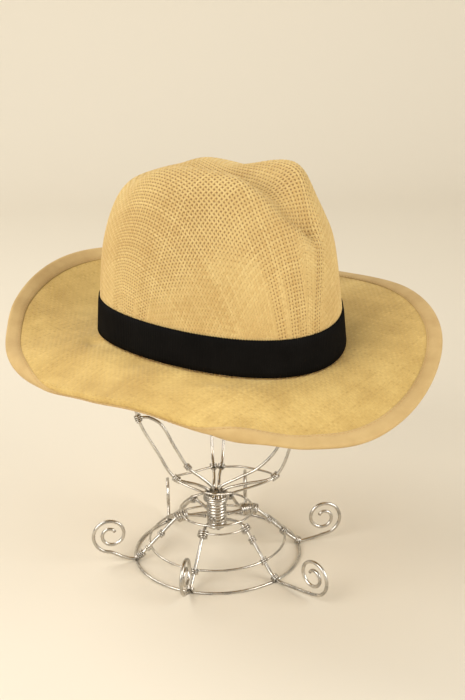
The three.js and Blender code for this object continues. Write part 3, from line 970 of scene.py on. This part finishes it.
brim_steps = [(share, STRIP) for share in np.linspace(0, 1, BRIM_RINGS["spread"])[:-1]]
brim_steps += [(1, depth) for depth in np.linspace(STRIP, 0, BRIM_RINGS["strip"])]
brim_section = [brim_ring(*step, SIZE_HALF) for step in brim_steps]
brim_section += [brim_ring(*step, -SIZE_HALF) for step in brim_steps[::-1]]
brim_wall = ring_piece("brim_wall", BRIM_AROUND, brim_section, closed=True)
dress(brim_wall, brim_paper, "woven_paper", "brim")

# %% [markdown]
# The brim's cloth
#
# A flat cloth has a square net, so the crossings are set out on the flat first. Each is then looked up on
# the brim by halving: at which angle round the hat it lies, and how far out. The weaving is the crown's.

# %% Weave the brim
BRIM_YARN = {"half_width": 1.16, "half_thick": 0.32, "wave": 0.2, "tone": 0.03, "spread": 0}
BRIM_PITCH = 2.4
OUT_RANGE = (-0.95, 2.5)
OUT_LIMIT = 1.04
HALVINGS = 40


def brim_net():
    """A flat square net over the spread brim: angle round the hat and place out at each crossing."""
    reach = max(OVAL["length"], OVAL["width"]) + BRIM["width"]
    half = int(reach / BRIM_PITCH) + 1
    across = np.arange(-half, half + 1) * BRIM_PITCH
    x, y = np.meshgrid(across, across, indexing="ij")
    low, high = (np.full(x.shape, out) for out in OUT_RANGE)
    for _ in range(HALVINGS):
        out = (low + high) / 2
        wide = OVAL["width"] + BRIM["width"] * out
        long = OVAL["length"] + BRIM["width"] * out
        beyond = (x / wide) ** 2 + (y / long) ** 2 > 1
        low = np.where(beyond, out, low)
        high = np.where(beyond, high, out)
    angle = np.arctan2(x / wide, -y / long)
    return angle, out


brim_angle, brim_out = brim_net()
safe_out = np.clip(brim_out, 2 * INNER, OUT_LIMIT)
brim_points = brim_point(brim_angle, safe_out)
brim_up = -surface_normal(brim_point, brim_angle, safe_out)
brim_levels = np.minimum(brim_out - INNER, from_edge(brim_angle, YARN_END) - brim_out)
even = np.full(brim_out.shape, BRIM_PITCH)
weave(brim_points, brim_up, brim_levels, (even, even), 0 * even, BRIM_YARN,
      ("brim_warp", "brim_weft"), brim_paper, "woven_paper", ("brim",))

# %% [markdown]
# The ribbon
#
# Hat ribbon is ribbed across its width, so its face is a row of fine ridges and its edges are finely
# notched. A bump would be lost at the outline, so the ridges are modelled: each has four corners round the
# hat, and the upper edge rises and falls with them.

# %% Ribbed ribbon
RIBBON = {"foot": 0.02, "top": 0.9}
RIBS = 300
RIB = {"corners": 4, "relief": 0.14, "notch": 0.011}
RIBBON_ROWS = np.linspace(RIBBON["foot"], RIBBON["top"], 7)
RIBBON_IN = GAP + 0.4
RIBBON_OUT = RIBBON_IN + CLOTH["ribbon"]
RIBBON_LIP = RIBBON_OUT - 0.2


def rib_wave(angles):
    return np.cos(RIBS * angles)


def ribbon_ring(row, height, ribbed, edge):
    """A ring of the ribbon: ribbed is its share of the ridges' relief, edge its share of the notches."""
    def place(angles):
        rows = row + edge * RIB["notch"] * rib_wave(angles)
        return crown_layer(angles, rows, height + ribbed * RIB["relief"] * rib_wave(angles))
    return place


ribbon_section = [ribbon_ring(row, RIBBON_IN, 0, 0) for row in RIBBON_ROWS[::-1]]
ribbon_section += [ribbon_ring(row, RIBBON_OUT, 1, 0) for row in RIBBON_ROWS]
ribbon_section[0] = ribbon_ring(RIBBON_ROWS[-1], RIBBON_IN, 0, 1)
ribbon_section[-1] = ribbon_ring(RIBBON_ROWS[-1], RIBBON_LIP, 0.5, 1)
hat_ribbon = ring_piece("ribbon", RIBS * RIB["corners"], ribbon_section, closed=True)
dress(hat_ribbon, black_rib, "black_ribbon", "hat_ribbon")

# %% [markdown]
# The edge tape
#
# A tape is folded over the brim's edge and sewn through with one row of stitches. The tape's section is a
# narrow U with a round nose, and the stitches press its two inner edges down onto the cloth. The section is
# a list of depths and heights, and one ring goes round the hat at each of them.

# %% Folded tape
TAPE_AROUND = 320
TAPE_DEPTH = 10.4
TAPE_IN = CLOTH["brim"] / 2 + GAP - 0.15
TAPE_OUT = TAPE_IN + CLOTH["tape"]
SEWN = {"from": 6.5, "low": 0.56, "thick": 0.22}
FACE_DEPTHS = (TAPE_DEPTH, 10, 9.2, 8.3, 7.3, 6.3, 4.2, 2, 0.4)
INSIDE_DEPTHS = (2, 6, 8.3, TAPE_DEPTH)
NOSE = [(-0.5, 0.72 * TAPE_OUT), (-0.8, 0.0)]


def tape_ring(depth, height):
    return lambda angles: brim_layer(angles, from_edge(angles, depth), height)


def tape_face(depth, low, full):
    """Height of a face of the tape: full near the nose, and pressed down at the sewn edge."""
    return full - (full - low) * float(smooth_step(depth, SEWN["from"], TAPE_DEPTH))


def tape_top(depth):
    return tape_face(depth, SEWN["low"] + SEWN["thick"], TAPE_OUT)


def under(section):
    """The same places on the brim's lower side, in the other order."""
    return [(depth, -height) for depth, height in reversed(section)]


def tape_section():
    upper = [(depth, tape_top(depth)) for depth in FACE_DEPTHS] + NOSE
    inside = [(depth, tape_face(depth, SEWN["low"], TAPE_IN)) for depth in INSIDE_DEPTHS]
    return upper + under(upper[:-1]) + under(inside) + inside


edge_section = [tape_ring(depth, height) for depth, height in tape_section()]
edge_tape = ring_piece("tape", TAPE_AROUND, edge_section, closed=True)
dress(edge_tape, tan_tape, "cotton_tape", "edge_tape")

# %% [markdown]
# The stitches
#
# One row of stitches holds the tape, and its thread shows on both faces. A stitch is a short yarn that dips
# into the tape at both ends. They are spaced evenly along the row, so the row's length is measured first.

# %% Stitches along the tape
STITCH = {"pitch": 3.2, "fill": 0.7, "half_width": 0.28, "half_thick": 0.22, "depth": 9.2, "lift": 0.05}
STITCH_SPOTS = np.array((0, 0.15, 0.5, 0.85, 1))
STITCH_DIPS = np.array((-0.27, 0, 0.05, 0, -0.27))
ROW_STEPS = 4000


def stitch_row(height):
    """Points and normals of each stitch of the row on one face of the brim."""
    around = np.linspace(0, 2 * np.pi, ROW_STEPS)
    along = lengths_along(brim_layer(around, from_edge(around, STITCH["depth"]), height))
    count = int(along[-1] / STITCH["pitch"])
    for start in np.arange(count) * along[-1] / count:
        spots = start + STITCH["pitch"] * STITCH["fill"] * STITCH_SPOTS
        angles = np.interp(spots, along, around)
        out = from_edge(angles, STITCH["depth"])
        up = -surface_normal(brim_point, angles, out)
        dip = STITCH_DIPS * np.sign(height)
        yield brim_layer(angles, out, height) + up * dip[:, None], up


stitches = YarnSet()
for face in (1, -1):
    for line, up in stitch_row(face * (tape_top(STITCH["depth"]) + STITCH["lift"])):
        stitches.add(line, up, STITCH["half_width"], STITCH["half_thick"], 0.0)
dress(stitches.piece("tape_stitches"), tan_thread, "cotton_tape")

# %% [markdown]
# The wire stand
#
# The stand is bent by hand from bare wire. A curve object with a round bevel could make such a wire. Here a
# circle is extruded along a route instead, always square to it, so that each wire is a plain closed mesh
# from the start. The route is a smooth curve through a few chosen points, in millimetres from the stand's
# own axis.

# %% Drawing a wire
STAND = np.array((-11.22, 3.9, 0.0))
WIRE = {"leg": 1.35, "arm": 1.2, "tie": 0.9, "base": 1.05, "sides": 12}
STEEP = 0.8


def polar(r, angle, z):
    turn = np.radians(angle)
    return np.stack(np.broadcast_arrays(r * np.cos(turn), r * np.sin(turn), z), -1)


def smooth_route(points, step):
    """Points about a step apart on a smooth curve through the given ones."""
    points = np.asarray(points, float)
    keys = lengths_along(points)
    count = max(2, int(round(keys[-1] / step)))
    at = np.linspace(0, keys[-1], count + 1)
    return np.stack([smooth_table(keys, points[:, axis], at) for axis in range(3)], -1)


def draw_wire(bm, line, radius, sides, loop=False):
    """Extrudes a circle along a line of points, and closes its ends or joins them."""
    line = (np.asarray(line) + STAND) * MM
    forward = np.gradient(line, axis=0)
    if loop:
        forward = np.roll(line, -1, axis=0) - np.roll(line, 1, axis=0)
    forward = [Vector(way).normalized() for way in forward]
    up = Vector((0, 0, 1)) if abs(forward[0].z) < STEEP else Vector((1, 0, 0))
    start = bmesh.ops.create_circle(bm, segments=sides, radius=radius * MM, cap_ends=False)["verts"]
    circle = [vert.co.copy() for vert in start]
    ring = start
    edges = list({edge for vert in start for edge in vert.link_edges})
    first_edges = edges
    for n, (spot, way) in enumerate(zip(line, forward)):
        across = up.cross(way).normalized()
        up = way.cross(across).normalized()
        if n:
            ring, edges = grow_ring(bm, ring, edges)
        for vert, corner in zip(ring, circle):
            vert.co = Vector(spot) + across * corner.x + up * corner.y
    if loop:
        bmesh.ops.bridge_loops(bm, edges=first_edges + edges)
    else:
        bmesh.ops.edgeloop_fill(bm, edges=first_edges)
        bmesh.ops.edgeloop_fill(bm, edges=edges)


def wire_piece(name, lines, radius, nodes=(), sides=WIRE["sides"], loop=False):
    bm = bmesh.new()
    for line in lines:
        draw_wire(bm, line, radius, sides, loop)
    bmesh.ops.recalc_face_normals(bm, faces=bm.faces)
    return dress(mesh_piece(name, bm), bare_wire, "bare_wire", *nodes)


print("stand: axis at", STAND[:2], "mm")

# %% [markdown]
# The legs
#
# Each of the six legs is one wire. It leaves the post, passes under the hub ring, runs down to the floor
# and ends in a scroll. The legs differ only in their direction, their reach and their scroll, so one
# function makes the route of each from a row of a table.

# %% Legs with scrolls
HUB = {"radius": 29, "height": 36, "seams": (174, 354)}
SHOULDER = {"clear": 0.7, "dip": 3, "inside": 4, "outside": 3, "fall": 1.5}
FOOT = {"radius": 66, "height": 2.75}
SCROLL = {"outer": 15.5, "inner": 4, "turns": 1.65, "steps": 14}
POST = {"radius": 8, "low": 22, "high": 52}
# Columns: the way a leg points, how far out its scroll stands, the scroll's own turn and its height.
LEGS = (
    (144, 85, 0, 8),
    (205, 76, 5, 4),
    (266, 106, 0, 4),
    (323, 87, 0, 4),
    (23, 78, 18, 4),
    (82, 76, -36, 4),
)


def leg_route(angle, reach, turn, rise):
    floor = WIRE["leg"] + 2 * GAP
    leg = [
        (POST["radius"] + SHOULDER["clear"], HUB["height"] - SHOULDER["dip"]),
        (HUB["radius"] - SHOULDER["inside"], HUB["height"]),
        (HUB["radius"] + SHOULDER["outside"], HUB["height"] - SHOULDER["fall"]),
        ((HUB["radius"] + FOOT["radius"]) / 2, (HUB["height"] + FOOT["height"]) / 2),
        (FOOT["radius"], FOOT["height"]),
    ]
    out = reach - FOOT["radius"]
    share = np.linspace(0, 1, round(SCROLL["turns"] * SCROLL["steps"]) + 1)
    around = 2 * np.pi * (SCROLL["turns"] * share - 0.25)
    curl = SCROLL["outer"] + (SCROLL["inner"] - SCROLL["outer"]) * share
    centre = SCROLL["outer"] + floor + rise
    end = [(out / 2, floor + rise / 3)]
    end += list(zip(out + curl * np.cos(around), centre + curl * np.sin(around)))
    foot = polar(FOOT["radius"], angle, 0.0)
    return [polar(r, angle, z) for r, z in leg] + [polar(r, angle + turn, z) + foot for r, z in end]


FINE_STEP = 2.0
leg_lines = [smooth_route(leg_route(*leg), FINE_STEP) for leg in LEGS]
for n, line in enumerate(leg_lines, 1):
    wire_piece(f"leg_wire_{n}", [line], WIRE["leg"], [f"leg_{n}"])

# %% [markdown]
# Rings on the legs
#
# Three rings of thinner wire keep the legs apart: on the floor, part of the way up and at the hub. The
# lower two are bent from lengths that stop beside each leg, and the hub's from two halves. So a ring is a
# row of arcs, and each arc is a piece.

# %% Rings that tie the legs
MID_RADIUS = 54


def arc(r, z, start, stop, step=3.0):
    count = max(3, int(np.radians(stop - start) * r / step))
    return polar(r, np.linspace(start, stop, count + 1), z)


def tie_pieces(name, node, angles, r, z, radius, clear):
    """A ring in arcs between the given angles. Each arc stays clear of what stands there."""
    ordered = sorted(angles)
    for n, start in enumerate(ordered):
        stop = ordered[n + 1] if n + 1 < len(ordered) else ordered[0] + 360
        short = np.degrees((clear + GAP) / r)
        wire_piece(f"{name}_{n + 1}", [arc(r, z, start + short, stop - short)], radius, [f"{node}_{n + 1}"])


leg_angles = [leg[0] for leg in LEGS]
mid_share = (MID_RADIUS - HUB["radius"]) / (FOOT["radius"] - HUB["radius"])
mid_height = HUB["height"] + (FOOT["height"] - HUB["height"]) * mid_share
hub_rise = HUB["height"] + WIRE["leg"] + GAP + WIRE["tie"]
tie_pieces("base_wire", "base_tie", leg_angles, FOOT["radius"], WIRE["base"], WIRE["base"], WIRE["leg"])
tie_pieces("mid_wire", "mid_tie", leg_angles, MID_RADIUS, mid_height, WIRE["tie"], WIRE["leg"])
tie_pieces("hub_wire", "hub_ring", HUB["seams"], HUB["radius"], hub_rise, WIRE["tie"], 0)

# %% [markdown]
# The arms
#
# Four long wires rise from the post, spread into a bowl and go on up into the crown, where a ring joins
# them. Two shorter wires go beside them and end under the brim. Each length has one table of distances and
# heights, and each arm follows its table in its own direction.

# %% Arms into the crown
# Columns: the way an arm leaves the post, the way it stands further up, and the column of its route.
LONG_ARMS = ((136, 136, 0), (62, 48, 0), (22, 34, 0), (310, 310, 1))
SHORT_ARMS = (LONG_ARMS[0], LONG_ARMS[3])
ARM_TURNS = (54, 62)
# Columns: distance from the post's axis on the left, on the right, and height.
LONG_ROUTE = ((5.5, 5.5, 52.5), (6.5, 6.8, 56), (15, 22, 60.5), (32, 46, 67), (44, 57, 88), (59, 62, 120),
              (62, 62, 155), (62, 62, 195), (57, 57, 238), (45, 45, 268))
SHORT_ROUTE = ((2.6, 2.6, 52.5), (3.2, 3.6, 58), (11, 18, 66), (21, 34, 75), (31, 49, 93), (41, 52, 113),
               (50, 55, 119.6), (56.9, 59.9, 120))
ARM_STEP = 3.0
TOP_RING = 15
TOP_RING_STEP = 10
top_low, top_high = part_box("top_ring")
top_height = (top_low.z + top_high.z) / 2 / MM
top_end = TOP_RING + WIRE["arm"] + 2 * GAP


def arm_line(arm, rows, step):
    at_post, above, side = arm
    points = []
    for row in rows:
        angle = at_post + (above - at_post) * smooth_step(row[2], *ARM_TURNS)
        points.append(polar(row[side], angle, row[2]))
    return smooth_route(points, step)


long_route = (*LONG_ROUTE, (top_end, top_end, top_height))
long_lines = [arm_line(arm, long_route, ARM_STEP) for arm in LONG_ARMS]
short_lines = [arm_line(arm, SHORT_ROUTE, FINE_STEP) for arm in SHORT_ARMS]
for n, line in enumerate(long_lines, 1):
    wire_piece(f"long_arm_wire_{n}", [line], WIRE["arm"], [f"long_arm_{n}"])
for n, line in enumerate(short_lines, 1):
    wire_piece(f"short_arm_wire_{n}", [line], WIRE["arm"], [f"short_arm_{n}"])
top_circle = polar(TOP_RING, np.arange(0, 360, TOP_RING_STEP), top_height)
wire_piece("top_wire", [top_circle], WIRE["arm"], ["top_ring"], loop=True)

# %% [markdown]
# The bowl's ring
#
# A thin wire goes once round the arms where they spread. It was bent by eye and dips in front, so its
# points come from a table. It is cut at the arms, and each length is a piece. Two points before and after a
# length keep its curve smooth at the cuts.

# %% A ring cut at the arms
# Columns: angle, distance from the post's axis, height.
BOWL = ((34, 24, 64), (48, 24, 64), (92, 22, 64.5), (136, 32, 67), (180, 18, 61), (223, 11, 57),
        (266, 20, 60), (310, 46, 67), (352, 31, 65))
BOWL_SEAMS = (0, 1, 3, 7, len(BOWL))
BOWL_STEP = 0.5
bowl_points = [polar(r, angle, z) for angle, r, z in BOWL * 3]
for n, (start, stop) in enumerate(zip(BOWL_SEAMS, BOWL_SEAMS[1:]), 1):
    here = [len(BOWL) + k for k in range(start - 2, stop + 3)]
    line = smooth_route([bowl_points[k] for k in here], BOWL_STEP)
    first = np.argmin(np.linalg.norm(line - bowl_points[here[2]], axis=1))
    last = np.argmin(np.linalg.norm(line - bowl_points[here[-3]], axis=1))
    wire_piece(f"bowl_wire_{n}", [line[first + 3:last - 2:3]], WIRE["tie"], [f"bowl_tie_{n}"])

# %% [markdown]
# The post
#
# The post is a bundle of six wires that is wound with a coil from end to end. A coil is the same wire piece
# on a helix. A looser one near the top, the collar, holds the arms where they leave the bundle.

# %% The wound post
TURN_STEPS = 22
POST_SIDES = 8
COIL = {"wire": 1.35, "turns": 10.5}
COLLAR = {"radius": 9.4, "low": 47.5, "high": 52.5, "turns": 2.6, "wire": 1.1}
CORE = {"radius": 3.6, "wire": 1.6, "turn": 60}


def helix(r, low, high, turns):
    share = np.linspace(0, 1, int(turns * TURN_STEPS) + 1)
    return polar(r, 360 * turns * share, low + (high - low) * share)


coil_low, coil_high = POST["low"] + COIL["wire"], POST["high"] - COIL["wire"]
coil_line = helix(POST["radius"] - COIL["wire"], coil_low, coil_high, COIL["turns"])
wire_piece("post_coil", [coil_line], COIL["wire"], ["post"], sides=POST_SIDES)
core_ends = np.array((POST["low"], POST["high"]))
core_lines = [polar(CORE["radius"], turn, core_ends) for turn in range(0, 360, CORE["turn"])]
wire_piece("post_core", core_lines, CORE["wire"], sides=POST_SIDES)
collar_line = helix(COLLAR["radius"], COLLAR["low"], COLLAR["high"], COLLAR["turns"])
wire_piece("post_collar", [collar_line], COLLAR["wire"], sides=POST_SIDES)

# %% [markdown]
# A tie below the hub
#
# A short thin wire lies on the two front legs, just below the hub ring. It is bowed outwards between them
# and ends a little past them. The next step binds it on.

# %% Tie on the front legs
HUB_TIE = {"legs": (1, 2), "reach": 34, "bow": 3, "wire": 0.7, "past": 0.07, "points": 21, "sides": 8}


def leg_place(leg, reach):
    """The point of a leg, before its scroll, that is nearest a distance from the post's axis."""
    lying = leg_lines[leg][:len(leg_lines[leg]) // 2]
    return lying[np.argmin(np.abs(np.hypot(lying[:, 0], lying[:, 1]) - reach))]


def hub_tie_line():
    start, end = (leg_place(leg, HUB_TIE["reach"]) for leg in HUB_TIE["legs"])
    share = np.linspace(-HUB_TIE["past"], 1 + HUB_TIE["past"], HUB_TIE["points"])
    line = start + (end - start) * share[:, None]
    reach = HUB_TIE["reach"] + HUB_TIE["bow"] * np.sin(np.pi * share)
    line[:, :2] *= (reach / np.hypot(line[:, 0], line[:, 1]))[:, None]
    line[:, 2] += WIRE["leg"] + HUB_TIE["wire"]
    return line


wire_piece("hub_tie", [hub_tie_line()], HUB_TIE["wire"], sides=HUB_TIE["sides"])

# %% [markdown]
# Bindings
#
# Nothing on this stand is welded. Where two wires cross, a thin wire is wound round both with pliers. A
# binding is a short helix round the thicker wire, with its middle at a chosen place on that wire's line and
# its turns side by side. Next to the floor the turns are pressed flat. All bindings are one piece.

# %% Thin wire wound where wires cross
BINDING = {"wire": 0.72, "pitch": 1.6, "steps": 12, "sides": 6, "floor": GAP / 4}
ASIDE = (0.3, 0.2, 1.0)  # no wire runs this way


def binding(line, place, turns, radius):
    """A helix round a line of points, with its middle at the point of the line that is nearest a place."""
    along = lengths_along(line)
    middle = along[np.argmin(np.linalg.norm(line - place, axis=1))]
    share = np.linspace(-0.5, 0.5, int(turns * BINDING["steps"]) + 1) * turns
    spots = np.clip(middle + share * BINDING["pitch"], 0, along[-1])
    centre = np.stack([np.interp(spots, along, axis) for axis in line.T], -1)
    forward = unit(np.stack([np.interp(spots, along, way) for way in np.gradient(line, axis=0).T], -1))
    across = unit(np.cross(forward, ASIDE))
    up = np.cross(forward, across)
    turn = (2 * np.pi * share)[:, None]
    wound = centre + (radius + BINDING["wire"]) * (across * np.cos(turn) + up * np.sin(turn))
    wound[:, 2] = np.maximum(wound[:, 2], BINDING["wire"] + BINDING["floor"])
    return wound


# Columns: leg, distance from the post's axis, turns, extra radius for the wires under the binding.
LEG_BINDINGS = (
    (0, 28, 6, 2.0), (0, 45, 2.5, 0.2), (0, 57, 1.5, 0.2), (0, 62, 4.5, 0.5),
    (1, 34, 3.5, 1.5), (1, 55, 2.5, 0.5), (1, 65, 2.5, 0.5),
    (2, 34, 3, 1.5), (2, 41, 3, 0.4), (2, 54, 2.5, 0.5), (2, 66, 3, 0.5),
    (3, 22, 3, 2.8), (3, 28, 5, 2.0), (3, 42, 2.5, 0.2), (3, 54, 3, 0.4), (3, 66, 2.5, 0.5),
    (4, 30, 3, 0.6), (4, 66, 2.5, 0.5),
    (5, 30, 3, 0.6), (5, 66, 2.5, 0.5),
)
# Columns: the arm's line, the place on it, turns, extra radius.
ARM_BINDINGS = (
    (long_lines[0], bowl_points[3], 3.5, 0.4),
    (long_lines[3], bowl_points[7], 3.5, 0.4),
    (long_lines[1], bowl_points[1], 3, 0.4),
    (long_lines[2], bowl_points[0], 3, 0.4),
    (short_lines[0], polar(22, 136, 75), 3, 0.1),
    (long_lines[0], polar(59, 136, 120), 3.5, 0.3),
)
bindings = []
for leg, reach, turns, extra in LEG_BINDINGS:
    bindings.append(binding(leg_lines[leg], leg_place(leg, reach), turns, WIRE["leg"] + extra))
for line, place, turns, extra in ARM_BINDINGS:
    bindings.append(binding(line, place, turns, WIRE["arm"] + extra))
wire_piece("bindings", bindings, BINDING["wire"], sides=BINDING["sides"])

# %% [markdown]
# Floor
#
# The stage is one pale sheet that curves up behind the hat, as in a photo studio. It is a flat grid whose
# far edge is extruded upwards and whose corner is then bevelled round. It isn't part of the hat, so it
# isn't joined to the frame's body.

# %% Pale sheet
SHEET = {"half": 3.0, "back": 1.6, "bend": 0.5, "tall": 3.0, "segments": 16}
SHEET_PAINT = (0.75, 0.69, 0.58, 1)
NEAR = 0.01


def pale_sheet():
    bm = bmesh.new()
    half = SHEET["half"]
    bmesh.ops.create_grid(bm, x_segments=1, y_segments=1, size=half)
    far = [edge for edge in bm.edges if all(vert.co.y > half - NEAR for vert in edge.verts)]
    wall = bmesh.ops.extrude_edge_only(bm, edges=far)["geom"]
    top = [part for part in wall if isinstance(part, bmesh.types.BMVert)]
    bmesh.ops.translate(bm, vec=(0, 0, SHEET["tall"]), verts=top)
    corner = [e for e in bm.edges if all(abs(v.co.y - half) < NEAR and v.co.z < NEAR for v in e.verts)]
    bmesh.ops.bevel(bm, geom=corner, offset=SHEET["bend"], segments=SHEET["segments"], profile=0.5,
                    affect="EDGES", material=-1)
    bmesh.ops.translate(bm, vec=(0, SHEET["back"] - half, 0), verts=bm.verts)
    bmesh.ops.rotate(bm, cent=(0, 0, 0), matrix=Matrix.Rotation(EYE_TURN, 3, "Z"), verts=bm.verts)
    return mesh_piece("pale_sheet", bm)


sheet = pale_sheet()
sheet_paint, _, sheet_shader = start_finish("pale_paint", roughness=0.9)
sheet_shader.inputs["Base Color"].default_value = SHEET_PAINT
sheet.data.materials.append(sheet_paint)
print("stage:", sheet.name, len(sheet.data.polygons), "faces")

# %% [markdown]
# Light
#
# A large soft lamp stands to the upper left of the camera, a second one lights the right side, and a weaker
# one from behind on the left reaches into the crease. An even sky fills the shadows, so the weave shows
# without hard edges.

# %% Lamps and sky
LAMP_WHITE = (1.0, 0.97, 0.92)
LAMP_AIM = Vector((0, 0, 0.2))
SKY = {"colour": (1.0, 0.95, 0.86, 1), "strength": 0.45}


def soft_lamp(name, place, size, watts):
    """A square lamp at a place that is given in the camera's own turn, aimed at the hat."""
    lamp = bpy.data.objects.new(name, bpy.data.lights.new(name, "AREA"))
    bpy.context.scene.collection.objects.link(lamp)
    lamp.data.size = size
    lamp.data.energy = watts
    lamp.data.color = LAMP_WHITE
    place = Matrix.Rotation(EYE_TURN, 3, "Z") @ Vector(place)
    aim = LAMP_AIM - place
    lamp.matrix_world = Matrix.Translation(place) @ aim.to_track_quat("-Z", "Y").to_matrix().to_4x4()


soft_lamp("key_lamp", (-1.15, -1.2, 1.1), size=1.3, watts=27)
soft_lamp("side_lamp", (1.5, -0.72, 0.85), size=1.0, watts=20)
soft_lamp("back_lamp", (-0.95, 0.55, 1.35), size=0.9, watts=11)
sky = bpy.data.worlds.new("even_sky")
sky.use_nodes = True
sky.node_tree.nodes["Background"].inputs["Color"].default_value = SKY["colour"]
sky.node_tree.nodes["Background"].inputs["Strength"].default_value = SKY["strength"]
bpy.context.scene.world = sky
bpy.context.scene.view_settings.view_transform = "Standard"
print("lamps:", len(bpy.data.lights))
